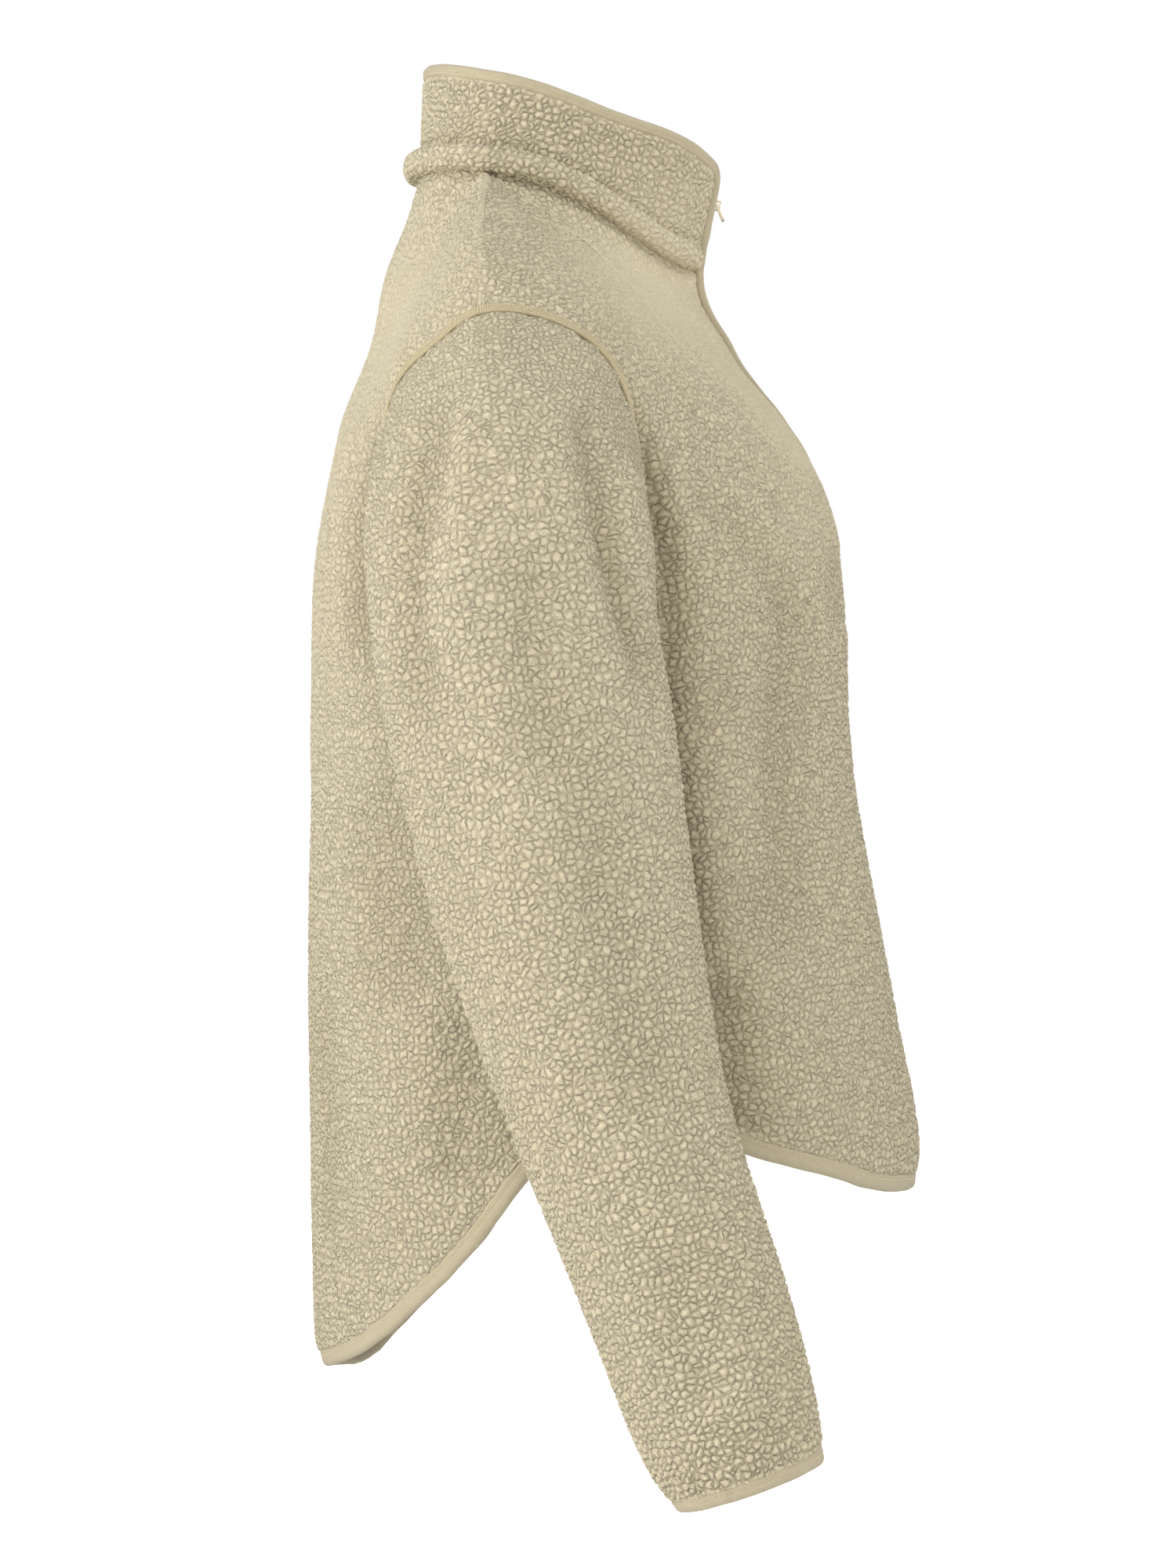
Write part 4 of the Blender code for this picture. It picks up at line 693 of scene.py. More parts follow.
def body_point(panel, side, share, row):
    """Outer points of a body panel.

    share runs from the centre line (0) to the panel's edge (1), row from the neck and shoulder (0)
    over the underarm (1) to the hem (2), and side is +1 for the wearer's left, -1 for the right.
    """
    share, row = np.broadcast_arrays(np.asarray(share, float), np.asarray(row, float))
    yoke = np.clip(row, 0, 1)
    upper = plain_yoke(panel, share, yoke) + neck_cut(panel, share, yoke)

    angle = section_angle(panel, share)
    hem_line = column(LEVELS, "z", panel.line, HEM_LEVEL)
    hem_side_x = column(LEVELS, "z", "side_x", HEM_LEVEL)
    hem_side_y = column(LEVELS, "z", "side_y", HEM_LEVEL)
    x, y = quarter(panel.fullness, angle, 90, hem_line, hem_side_x, hem_side_y)
    z = UNDERARM_Z + (hem_height(side * x, y) - UNDERARM_Z) * np.clip(row - 1, 0, 1)
    side_x = column(LEVELS, "z", "side_x", z)
    side_y = column(LEVELS, "z", "side_y", z)
    x, y = quarter(panel.fullness, angle, 90, column(LEVELS, "z", panel.line, z), side_x, side_y)
    lower = np.stack([x, y, z], axis=-1)

    point = np.where((row <= 1)[..., None], upper, lower)
    if panel is FRONT:
        bust = column(LEVELS, "z", "bust", point[..., 2])
        spread = np.exp(-(((point[..., 0] - BUST_X) / BUST_WIDTH) ** 2))
        point[..., 1] -= bust * spread * (1 - share**4)
    point[..., 0] *= side
    return point


# ---------------------------------------------------------------- the sleeve
def sleeve_angle(panel, share):
    """Degrees from the sleeve's top line, towards the front, of a place on the armhole."""
    if panel is FRONT:
        return SLEEVE_TOP_ANGLE + (180 - SLEEVE_TOP_ANGLE) * share
    return SLEEVE_TOP_ANGLE - (180 + SLEEVE_TOP_ANGLE) * share


def sleeve_ring(angle, along):
    """Points of the plain rings, before the armhole's own shape is added."""
    centre = track(SLEEVE, along)
    swing = np.radians(column(SLEEVE, "share", "swing", along))
    lean = np.radians(column(SLEEVE, "share", "lean", along))
    depth = column(SLEEVE, "share", "half_depth", along)
    width = column(SLEEVE, "share", "half_width", along)
    back = np.stack([np.zeros_like(lean), np.cos(lean), -np.sin(lean)], axis=-1)
    rise = np.sin(swing)
    out = np.stack([np.cos(swing), rise * np.sin(lean), rise * np.cos(lean)], axis=-1)
    turn = np.radians(angle)
    centre = centre + out * (width * np.cos(turn))[..., None]
    return centre - back * (depth * np.sin(turn))[..., None]


def sleeve_point(side, panel, share, along):
    """Outer points of a sleeve: share is the place on the armhole, along runs down to the cuff."""
    share, along = np.broadcast_arrays(np.asarray(share, float), np.asarray(along, float))
    angle = sleeve_angle(panel, share)
    armhole = track(panel.armhole, share)
    fade = np.clip(1 - along / CAP_FADE, 0, 1) ** 2
    start = sleeve_ring(angle, np.zeros_like(along))
    point = sleeve_ring(angle, along) + fade[..., None] * (armhole - start)
    point[..., 0] *= side
    return point


# ---------------------------------------------------------------- normals and folds
def unit(vectors):
    length = np.linalg.norm(vectors, axis=-1, keepdims=True)
    return vectors / np.maximum(length, 1e-12)


def tangents_of(points, closed=False):
    """Unit directions along a line of points."""
    if closed:
        return unit(np.roll(points, -1, axis=0) - np.roll(points, 1, axis=0))
    return unit(np.gradient(points, axis=0))


def outward_normals(points, closed, middle):
    """Unit normals of a grid, turned away from a point inside the garment."""
    if closed:
        across = np.roll(points, -1, axis=1) - np.roll(points, 1, axis=1)
    else:
        across = np.gradient(points, axis=1)
    normals = unit(np.cross(across, np.gradient(points, axis=0)))
    row, cell = points.shape[0] // 2, points.shape[1] // 2
    outside = normals[row, cell] @ (points[row, cell] - middle)
    return normals * math.copysign(1, outside)


def along_line(points):
    """How far along a line of points each one lies."""
    return np.concatenate([[0], np.cumsum(np.linalg.norm(np.diff(points, axis=0), axis=-1))])


def beside_line(flat, line):
    """How far each flat point lies from a line of joined stretches, and its share of the way."""
    line = np.asarray(line, float)
    run = along_line(line)
    nearest = np.full(flat.shape[:-1], np.inf)
    way = np.zeros(flat.shape[:-1])
    for k, (start, end) in enumerate(zip(line[:-1], line[1:])):
        reach = end - start
        part = np.clip(((flat - start) @ reach) / (reach @ reach), 0, 1)
        gap = np.linalg.norm(flat - start - part[..., None] * reach, axis=-1)
        way = np.where(gap < nearest, run[k] + part * (run[k + 1] - run[k]), way)
        nearest = np.minimum(nearest, gap)
    return nearest, way / run[-1]


def folded(points, normals, folds, flat, facing):
    """Points pushed along their normals by each fold, where the cloth faces its way, and how far."""
    push = np.zeros(points.shape[:-1])
    for fold in folds:
        gap, way = beside_line(flat, fold.line)
        ends = smooth_step(np.minimum(way, 1 - way) / FOLD_ENDS)
        push += fold.depth * ends * np.exp(-((gap / fold.width) ** 2))
    push *= smooth_step(facing / FOLD_FACING)
    return points + normals * push[..., None], push


def laid_flat(points):
    """Where each point of a grid lies, in metres, when the cloth is laid out flat.

    A coarse net over the grid is flattened: each of its triangles is turned to fit, then the
    corners are moved to agree with all of them, round after round.
    """
    rows, columns = points.shape[:2]
    row_at = np.linspace(0, rows - 1, FLAT_ROWS).round().astype(int)
    column_at = np.linspace(0, columns - 1, FLAT_COLUMNS).round().astype(int)
    net = points[np.ix_(row_at, column_at)]
    across = np.linalg.norm(np.diff(net, axis=1), axis=-1).cumsum(axis=1)
    down = np.linalg.norm(np.diff(net, axis=0), axis=-1).cumsum(axis=0)
    flat = np.zeros((FLAT_ROWS, FLAT_COLUMNS, 2))
    flat[:, 1:, 0] = across
    flat[..., 0] -= flat[:, FLAT_COLUMNS // 2, None, 0]
    flat[1:, :, 1] = down
    flat[..., 1] -= flat[FLAT_ROWS // 2, None, :, 1]
    flat = flat.reshape(-1, 2)
    corners = net.reshape(-1, 3)

    place = np.arange(FLAT_ROWS * FLAT_COLUMNS).reshape(FLAT_ROWS, FLAT_COLUMNS)
    a, b, c, d = place[:-1, :-1], place[:-1, 1:], place[1:, 1:], place[1:, :-1]
    halves = ((a, b, c), (a, c, d), (a, b, d), (b, c, d))
    triangles = np.concatenate([np.stack(half, axis=-1).reshape(-1, 3) for half in halves])
    first = corners[triangles[:, 1]] - corners[triangles[:, 0]]
    second = corners[triangles[:, 2]] - corners[triangles[:, 0]]
    length = np.linalg.norm(first, axis=-1)
    part = np.sum(first * second, axis=-1) / length
    rise = np.sqrt(np.maximum(np.sum(second * second, axis=-1) - part**2, 0))
    shape = np.zeros((len(triangles), 3, 2))
    shape[:, 1, 0] = length
    shape[:, 2, 0] = part
    shape[:, 2, 1] = rise

    size = len(corners)
    matrix = np.zeros((size, size))
    edges = ((0, 1), (1, 2), (2, 0))
    for i, j in edges:
        for p, q in ((i, j), (j, i)):
            np.add.at(matrix, (triangles[:, p], triangles[:, p]), 1)
            np.add.at(matrix, (triangles[:, p], triangles[:, q]), -1)
    matrix[0, 0] += 1
    solver = np.linalg.inv(matrix)
    for _ in range(FLAT_ROUNDS):
        placed = flat[triangles]
        turn_x = turn_y = 0
        for i, j in edges:
            now, own = placed[:, j] - placed[:, i], shape[:, j] - shape[:, i]
            turn_x = turn_x + np.sum(now * own, axis=-1)
            turn_y = turn_y + now[:, 1] * own[:, 0] - now[:, 0] * own[:, 1]
        turn = np.arctan2(turn_y, turn_x)
        cos, sin = np.cos(turn)[:, None], np.sin(turn)[:, None]
        right = np.zeros((size, 2))
        for i, j in edges:
            own = shape[:, j] - shape[:, i]
            turned = np.concatenate(
                [cos * own[:, :1] - sin * own[:, 1:], sin * own[:, :1] + cos * own[:, 1:]], axis=1
            )
            np.add.at(right, triangles[:, j], turned)
            np.add.at(right, triangles[:, i], -turned)
        right[0] += flat[0]
        flat = solver @ right
    flat = flat.reshape(FLAT_ROWS, FLAT_COLUMNS, 2)

    wide = np.zeros((FLAT_ROWS, columns, 2))
    for k in range(FLAT_ROWS):
        for axis in range(2):
            wide[k, :, axis] = spline(column_at, flat[k, :, axis], np.arange(columns))
    full = np.zeros((rows, columns, 2))
    for k in range(columns):
        for axis in range(2):
            full[:, k, axis] = np.interp(np.arange(rows), row_at, wide[:, k, axis])
    return full


# ---------------------------------------------------------------- the fine grids
def zip_edge_share(side, row):
    """How far along each row of the front the zip's edge lies."""
    probe = np.linspace(0, *ZIP_SEARCH)
    across = np.abs(body_point(FRONT, side, probe[None], row)[..., 0])
    return np.array([[np.interp(ZIP_EDGE_X, line, probe)] for line in across])


def body_grid(panel):
    """Outer points of a whole panel, from the wearer's right to the left."""
    neck = np.linspace(0, panel.neck_share, panel.neck_columns + 1)
    shoulder = np.linspace(panel.neck_share, 1, panel.shoulder_columns + 1)[1:]
    share = np.concatenate([neck, shoulder])[None]
    yoke = np.linspace(0, 1, panel.yoke_rows + 1)
    skirt = np.linspace(1, 2, panel.skirt_rows + 1)[1:]
    row = np.concatenate([yoke, skirt])[:, None]
    parts = []
    for side in (-1, 1):
        start = zip_edge_share(side, row) if panel is FRONT else 0 * row
        places = share + start * np.clip(1 - share / panel.neck_share, 0, 1)
        half = body_point(panel, side, places, row)
        middle = start * np.linspace(1, 0, CENTRE_COLUMNS // 2 + 1)[None, 1:]
        strip = body_point(panel, side, middle, row) if panel is FRONT else None
        parts.append((half, strip))
    (right, strip_right), (left, strip_left) = parts
    if panel is FRONT:
        columns = [right[:, ::-1], strip_right, strip_left[:, -2::-1], left]
    else:
        columns = [right[:, ::-1], left[:, 1:]]
    points = np.concatenate(columns, axis=1)
    normals = outward_normals(points, False, TRUNK_MIDDLE)
    seen = np.stack([np.abs(points[..., 0]), points[..., 2]], axis=-1)
    sewn = smooth_step(edge_distance(points, False) / FOLD_OFF_SEAM)
    return folded(points, normals, panel.folds, seen, sewn * normals[..., 1] * panel.faces)


def hidden_seam(points):
    """How far the sleeve's cap hides the armhole's seam at each of its points, from 0 to 1."""
    height, over = HIDDEN_SEAM
    return smooth_step((height - points[..., 2]) / over)


def sleeve_grid(side):
    """Outer points of a sleeve: columns from the shoulder's tip over the front and back again."""
    along = np.linspace(0, 1, SLEEVE_ROWS + 1)[:, None]
    share = np.linspace(0, 1, SLEEVE_COLUMNS + 1)[None]
    front = sleeve_point(side, FRONT, share, along)
    back = sleeve_point(side, BACK, share[:, ::-1], along)
    points = np.concatenate([front, back[:, 1:-1]], axis=1)
    place, reach = CAP_BULGE_PLACE
    full = np.exp(-(((along - place) / reach) ** 2)) * smooth_step(along / place)
    off_top = points[:1, :, 1] - points[0, 0, 1]
    full = full * smooth_step(np.abs(off_top) / CAP_BULGE_OFF_TOP) * np.sign(off_top)
    full = full * hidden_seam(points[:1])
    points[..., 1] += CAP_BULGE * full
    normals = outward_normals(points, True, points[SLEEVE_ROWS // 2].mean(axis=0))
    facing = normals[..., 0] * side * smooth_step(along / CAP_FOLD_FADE)
    return folded(points, normals, SLEEVE_FOLDS, points[..., 1:], facing)


def edge_distance(points, closed):
    """How far each point of a grid lies from the grid's edges, along its rows and columns."""
    down = np.linalg.norm(np.diff(points, axis=0), axis=-1)
    run = np.concatenate([np.zeros((1, points.shape[1])), np.cumsum(down, axis=0)])
    nearest = np.minimum(run, run[-1:] - run)
    if closed:
        return nearest
    across = np.linalg.norm(np.diff(points, axis=1), axis=-1)
    run = np.concatenate([np.zeros((points.shape[0], 1)), np.cumsum(across, axis=1)], axis=1)
    return np.minimum(nearest, np.minimum(run, run[:, -1:] - run))


# ---------------------------------------------------------------- the collar
class Collar:
    """The collar's frame: its foot is the neck seam, its head the bound top edge."""

    def __init__(self, foot, front_parts, back_parts):
        self.foot = foot
        probe = np.linspace(0, *COLLAR_SEARCH)
        start = np.interp(ZIP_EDGE_X, self.head_line(1, FRONT, probe)[:, 0], probe)
        front_parts = front_parts + start * (1 - front_parts)
        runs = [
            self.head_line(-1, FRONT, front_parts),
            self.head_line(-1, BACK, back_parts[::-1])[1:],
            self.head_line(1, BACK, back_parts)[1:-1],
            self.head_line(1, FRONT, front_parts)[::-1],
        ]
        self.head = np.concatenate(runs)
        self.head[[0, -1], 0] = -ZIP_EDGE_X, ZIP_EDGE_X
        self.up = unit(self.head - foot)
        outward = unit(np.cross(tangents_of(self.head + foot), self.up))
        away_from_middle = np.sum(outward * (self.head - NECK_MIDDLE), axis=-1, keepdims=True)
        self.outward = outward * np.sign(away_from_middle)
        self.outward[[0, -1], 0] = 0
        self.outward = unit(self.outward)

        self.run = along_line(self.head)
        from_corner = np.minimum(self.run, self.run[-1] - self.run)
        inside = np.clip(COLLAR_CORNER - from_corner, 0, COLLAR_CORNER)
        corner_drop = COLLAR_CORNER - np.sqrt(COLLAR_CORNER**2 - inside**2)
        length = np.linalg.norm(self.head - foot, axis=-1)
        self.height = length - EDGE_BINDING_WIDTH - SEAM_GAP - corner_drop
        self.edge = foot + self.up * self.height[:, None]

    @staticmethod
    def head_line(side, panel, part):
        """The bound top edge, above the neck seam's place with the same part."""
        start_y = COLLAR_FRONT_Y if panel is FRONT else COLLAR_BACK_Y
        depth = abs(COLLAR_SIDE_Y - start_y)
        angle = even_angles(NECK_FULLNESS, part, COLLAR_HALF_WIDTH, depth)
        x, y = quarter(NECK_FULLNESS, angle, 90, start_y, COLLAR_HALF_WIDTH, COLLAR_SIDE_Y)
        return np.stack([side * x, y, column(COLLAR_HEIGHTS, "y", "z", y)], axis=-1)

    def grid(self):
        """Outer points, in rows up from the neck seam over the roll."""
        corners = np.array([(0.0, -FOOT_OVERLAP), *ROLL_SECTION])
        run = along_line(corners)
        places = np.linspace(0, run[-1], COLLAR_ROLL_ROWS + 1)
        out = spline(run, corners[:, 0], places)
        high = spline(run, corners[:, 1], places)
        from_zip = np.minimum(self.run, self.run[-1] - self.run)
        roll = ROLL_AT_ZIP + (1 - ROLL_AT_ZIP) * smooth_step(from_zip / ROLL_FADE)
        rows = []
        for o, h, even in zip(out, high, np.linspace(-FOOT_OVERLAP, high[-1], len(high))):
            rise = even + (h - even) * (roll - ROLL_AT_ZIP) / (1 - ROLL_AT_ZIP)
            rows.append(self.foot + self.outward * (o * roll)[:, None] + self.up * rise[:, None])
        for share in np.linspace(0, 1, COLLAR_ROWS + 1)[1:]:
            level = high[-1] + (self.height - high[-1]) * share
            step_out = out[-1] * roll * (1 - share)
            rows.append(self.foot + self.up * level[:, None] + self.outward * step_out[:, None])
        return np.array(rows)


def neck_line(side, panel, parts):
    """The neck seam of one half of a panel, from its centre or the zip outwards."""
    row = np.zeros((1, 1))
    start = zip_edge_share(side, row)[0, 0] if panel is FRONT else 0.0
    share = parts * panel.neck_share
    places = share + start * (1 - parts)
    return body_point(panel, side, places, 0.0)


def make_collar_frame():
    front_parts = np.linspace(0, 1, COLLAR_FRONT_COLUMNS + 1)
    back_parts = np.linspace(0, 1, COLLAR_BACK_COLUMNS + 1)
    foot = np.concatenate(
        [
            neck_line(-1, FRONT, front_parts),
            neck_line(-1, BACK, back_parts[::-1])[1:],
            neck_line(1, BACK, back_parts)[1:-1],
            neck_line(1, FRONT, front_parts)[::-1],
        ]
    )
    return Collar(foot, front_parts, back_parts)


# ---------------------------------------------------------------- node trees
class Net:
    """Adds nodes to a shader or geometry tree and joins them."""

    def __init__(self, tree):
        self.tree = tree

    def join(self, value, socket):
        if isinstance(value, bpy.types.NodeSocket):
            self.tree.links.new(value, socket)
        else:
            socket.default_value = value

    def add(self, kind, inputs=None, **settings):
        made = self.tree.nodes.new(kind)
        for name, value in settings.items():
            setattr(made, name, value)
        for socket, value in (inputs or {}).items():
            self.join(value, made.inputs[socket])
        return made

    def math(self, operation, *values):
        made = self.add("ShaderNodeMath", operation=operation)
        for socket, value in zip(made.inputs, values):
            self.join(value, socket)
        return made.outputs[0]

    def vector(self, operation, *values):
        made = self.add("ShaderNodeVectorMath", operation=operation)
        for socket, value in zip(made.inputs, values):
            self.join(value, socket)
        return made.outputs[0]

    def scaled(self, vector, factor):
        made = self.add("ShaderNodeVectorMath", operation="SCALE")
        self.join(vector, made.inputs[0])
        self.join(factor, made.inputs["Scale"])
        return made.outputs[0]

    def noise(self, place, scale, detail=2.0):
        return self.add("ShaderNodeTexNoise", {"Vector": place, "Scale": scale, "Detail": detail})

    def cell(self, place, size, feature):
        """How far a flat place is from its cell's middle (F1) or border, in cells."""
        inputs = {"Vector": place, "Scale": 1 / size, "Randomness": NUB_RANDOM}
        made = self.add(
            "ShaderNodeTexVoronoi", inputs, feature=feature, voronoi_dimensions="2D"
        )
        return made.outputs["Distance"]

    def step(self, value, low, high):
        """Rises smoothly from 0 at low to 1 at high."""
        made = self.add("ShaderNodeMapRange", interpolation_type="SMOOTHSTEP")
        for socket, number in (("Value", value), ("From Min", low), ("From Max", high)):
            self.join(number, made.inputs[socket])
        return made.outputs["Result"]

    def mix(self, share, first, second, blend="MIX"):
        made = self.add("ShaderNodeMix", data_type="RGBA", blend_type=blend)
        for socket, value in ((0, share), (6, first), (7, second)):
            self.join(value, made.inputs[socket])
        return made.outputs[2]


def dome(net, border, shoulder):
    """A rounded rise from 0 at a cell's border to 1, and what is left below it."""
    part = net.math("MINIMUM", net.math("DIVIDE", border, shoulder), 1.0)
    left = net.math("SUBTRACT", 1.0, part)
    left = net.math("MULTIPLY", left, left)
    return net.math("SUBTRACT", 1.0, left), left


def pile(net, cloth):
    """Height of the pile's nubs, 0 in the crevices to 1 on top, and how much painted shade a crevice gets.
    """
    place = cloth
    for scale, reach in NUB_WARPS:
        warp = net.noise(cloth, scale, 1.0).outputs["Color"]
        push = net.scaled(net.vector("SUBTRACT", warp, (0.5, 0.5, 0.5)), reach)
        place = net.vector("ADD", place, push)
    border = net.cell(place, NUB_SIZE, "DISTANCE_TO_EDGE")
    off_middle = net.step(net.cell(place, NUB_SIZE, "F1"), *NUB_CORNER)
    rise, _ = dome(net, border, NUB_SHOULDER)
    rise = net.math("MULTIPLY", rise, net.math("MULTIPLY_ADD", off_middle, -NUB_FALL, 1.0))
    _, between = dome(net, net.cell(place, CURL_SIZE, "DISTANCE_TO_EDGE"), NUB_SHOULDER)
    uneven = net.step(net.noise(cloth, CREVICE_SCALE, 1.0).outputs[0], *CREVICE_RANGE)
    low = net.math("MULTIPLY", between, net.math("MULTIPLY", uneven, CURL_SHARE))
    height = net.math("SUBTRACT", rise, low)
    # Painted shade: how dark the pile is painted near each cell's border, over the nubs' sloping sides and
    # in the curls, lighter where the noise is high.
    _, near = dome(net, border, CREVICE_WIDTH)
    _, beside = dome(net, border, NUB_SHOULDER)
    near = net.math("MAXIMUM", near, net.math("MULTIPLY", beside, BESIDE_CREVICE))
    painted_shade = net.math("MULTIPLY", near, net.math("MULTIPLY_ADD", uneven, -CREVICE_VARY, 1.0))
    crevice = net.math("MAXIMUM", painted_shade, net.math("MULTIPLY", low, CURL_PAINTED_SHADE))
    return height, crevice


def relief_group():
    """Geometry nodes that raise the nubs along the cloth's own way outwards."""
    tree = bpy.data.node_groups.new("nub_relief", "GeometryNodeTree")
    tree.interface.new_socket("Geometry", in_out="INPUT", socket_type="NodeSocketGeometry")
    tree.interface.new_socket("Geometry", in_out="OUTPUT", socket_type="NodeSocketGeometry")
    net = Net(tree)
    start = net.add("NodeGroupInput")
    end = net.add("NodeGroupOutput")
    cloth = net.add("GeometryNodeInputNamedAttribute", {"Name": "cloth"}, data_type="FLOAT_VECTOR")
    nub = net.add("GeometryNodeInputNamedAttribute", {"Name": "nub"}, data_type="FLOAT")
    place = cloth.outputs["Attribute"]
    height, _ = pile(net, place)
    raised = net.math("SUBTRACT", height, NUB_REST)
    billow = net.math("SUBTRACT", net.noise(place, BILLOW_SCALE, 1.0).outputs[0], 0.5)
    raised = net.math("MULTIPLY", raised, NUB_HEIGHT)
    raised = net.math("ADD", raised, net.math("MULTIPLY", billow, BILLOW_HEIGHT))
    push = net.math("MULTIPLY", raised, nub.outputs["Attribute"])
    normal = net.add("GeometryNodeInputNormal").outputs["Normal"]
    offset = net.scaled(normal, push)
    moved = net.add("GeometryNodeSetPosition", {"Geometry": start.outputs[0], "Offset": offset})
    tree.links.new(moved.outputs["Geometry"], end.inputs[0])
    return tree


# ---------------------------------------------------------------- materials
def new_material(name):
    material = bpy.data.materials.new(name)
    material.use_nodes = True
    net = Net(material.node_tree)
    return material, net, material.node_tree.nodes["Principled BSDF"]


def attribute(net, name, output="Fac"):
    return net.add("ShaderNodeAttribute", attribute_name=name).outputs[output]


def rgba(colour):
    return (*colour, 1.0)


def set_bump(net, shader, height, distance, strength):
    bump = net.add("ShaderNodeBump", {"Strength": strength, "Distance": distance, "Height": height})
    net.join(bump.outputs["Normal"], shader.inputs["Normal"])


def set_inputs(shader, values):
    for name, value in values.items():
        shader.inputs[name].default_value = value


def roughen(net, shader, value, low, high):
    """Roughness that runs from low to high with the value."""
    rough = net.add("ShaderNodeMapRange", {"Value": value, "To Min": low, "To Max": high})
    net.join(rough.outputs["Result"], shader.inputs["Roughness"])


def fleece_material():
    """Cream pile: nubs with painted shade in their crevices, painted shade in folds and beside seams, and
    short fibres over them.
    """
    material, net, shader = new_material("sherpa_pile")
    cloth = attribute(net, "cloth", "Vector")
    nub = attribute(net, "nub")
    height, crevice = pile(net, cloth)
    fibres = net.noise(cloth, FIBRE_SCALE, 4.0).outputs[0]
    tufts = net.noise(cloth, TUFT_SCALE, 3.0).outputs[0]
    tone = net.noise(cloth, TONE_SCALE, 2.0).outputs[0]

    colour = net.mix(net.step(tone, *TONE_RANGE), rgba(PILE_WARM), rgba(PILE_COOL))
    colour = net.mix(net.step(tufts, *TUFT_RANGE), colour, rgba(PILE_TIP))
    # Painted shade: the crevices, and the folds and seam edges that the mesh's shade attribute marks, are
    # darkened towards the pile's shade colour.
    painted_shade = net.math("MULTIPLY", net.math("MULTIPLY", crevice, CREVICE_PAINTED_SHADE), nub)
    fold_shade = net.math("MULTIPLY", attribute(net, "painted_shade"), FOLD_PAINTED_SHADE)
    painted_shade = net.math("MINIMUM", net.math("ADD", painted_shade, fold_shade), 1.0)
    colour = net.mix(painted_shade, colour, rgba(PILE_PAINTED_SHADE))
    net.join(colour, shader.inputs["Base Color"])

    relief = net.math("MULTIPLY", height, nub)
    relief = net.math("ADD", relief, net.math("MULTIPLY", tufts, TUFT_RELIEF))
    relief = net.math("ADD", relief, net.math("MULTIPLY", fibres, FIBRE_RELIEF))
    set_bump(net, shader, relief, NUB_HEIGHT, PILE_BUMP)
    set_inputs(shader, {"Roughness": 1.0, "Specular IOR Level": 0.15})
    set_inputs(shader, {"Sheen Weight": 0.12, "Sheen Roughness": 0.5})
    return material


def knit_material(name, colours, pitch, relief):
    """A smooth knit: rows of loops along and across the piece, painted shade in the gaps between loops, and
    a faint mottle.
    """
    material, net, shader = new_material(name)
    cloth = attribute(net, "cloth", "Vector")
    split = net.add("ShaderNodeSeparateXYZ", {"Vector": cloth}).outputs
    wale = net.math("SINE", net.math("MULTIPLY", split["X"], 2 * math.pi / pitch))
    course = net.math("SINE", net.math("MULTIPLY", split["Y"], 2 * math.pi / (pitch * COURSE_PITCH)))
    loops = net.math("MULTIPLY", net.math("ABSOLUTE", wale), net.math("ABSOLUTE", course))
    fuzz = net.noise(cloth, FIBRE_SCALE, 4.0).outputs[0]
    mottle = net.noise(cloth, MOTTLE_SCALE, 3.0).outputs[0]
    light, dark = colours
    colour = net.mix(net.step(mottle, *TONE_RANGE), rgba(dark), rgba(light))
    shaded = tuple(channel * LOOP_SHADE for channel in dark)
    colour = net.mix(net.step(loops, LOOP_GAP, 0.0), colour, rgba(shaded))
    net.join(colour, shader.inputs["Base Color"])
    height = net.math("ADD", loops, net.math("MULTIPLY", fuzz, KNIT_FUZZ))
    set_bump(net, shader, height, relief, strength=0.5)
    roughen(net, shader, fuzz, *KNIT_ROUGHNESS)
    set_inputs(shader, {"Specular IOR Level": 0.25, "Sheen Weight": 0.15})
    return material


def thread_material(name, colours):
    """Twisted thread."""
    material, net, shader = new_material(name)
    place = net.add("ShaderNodeTexCoord").outputs["Object"]
    twist = net.noise(place, FIBRE_SCALE, 2.0).outputs[0]
    light, dark = colours
    colour = net.mix(net.step(twist, *TWIST_RANGE), rgba(dark), rgba(light))
    net.join(colour, shader.inputs["Base Color"])
    set_bump(net, shader, twist, distance=0.0002, strength=0.5)
    set_inputs(shader, {"Roughness": 0.7})
    return material


def hard_material(name, colour, roughness, metallic):
    """Painted metal or plastic, slightly uneven and worn lighter in places."""
    material, net, shader = new_material(name)
    place = net.add("ShaderNodeTexCoord").outputs["Object"]
    patches = net.noise(place, WORN_SCALE, 3.0).outputs[0]
    worn = tuple(min(1.0, channel * WORN_SHADE) for channel in colour)
    shade = net.mix(net.step(patches, *WORN_RANGE), rgba(colour), rgba(worn))
    net.join(shade, shader.inputs["Base Color"])
    roughen(net, shader, patches, *(roughness + change for change in WORN_ROUGHNESS))
    set_bump(net, shader, patches, distance=0.0001, strength=0.3)
    set_inputs(shader, {"Metallic": metallic})
    return material


# ---------------------------------------------------------------- meshes
def new_piece(name, points, faces, look, values=None, node=None, body="garment"):
    """A mesh piece on its body: its materials and the node it stands for.

    values are numbers or vectors at each of its points.
    """
    mesh = bpy.data.meshes.new(name)
    mesh.from_pydata(points.tolist(), [], faces)
    mesh.shade_smooth()
    for key, numbers in (values or {}).items():
        kind, field = ("FLOAT_VECTOR", "vector") if np.ndim(numbers) > 1 else ("FLOAT", "value")
        made = mesh.attributes.new(key, kind, "POINT")
        made.data.foreach_set(field, np.ascontiguousarray(numbers, np.float32).ravel())
    for material in look:
        mesh.materials.append(material)
    piece = bpy.data.objects.new(name, mesh)
    bpy.context.scene.collection.objects.link(piece)
    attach(piece, body)
    if node:
        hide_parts(node)
    return piece


def flat_vectors(across, along):
    """Places on the flat cloth as vectors, for the materials."""
    return np.stack([across.ravel(), along.ravel(), 0 * across.ravel()], axis=-1)


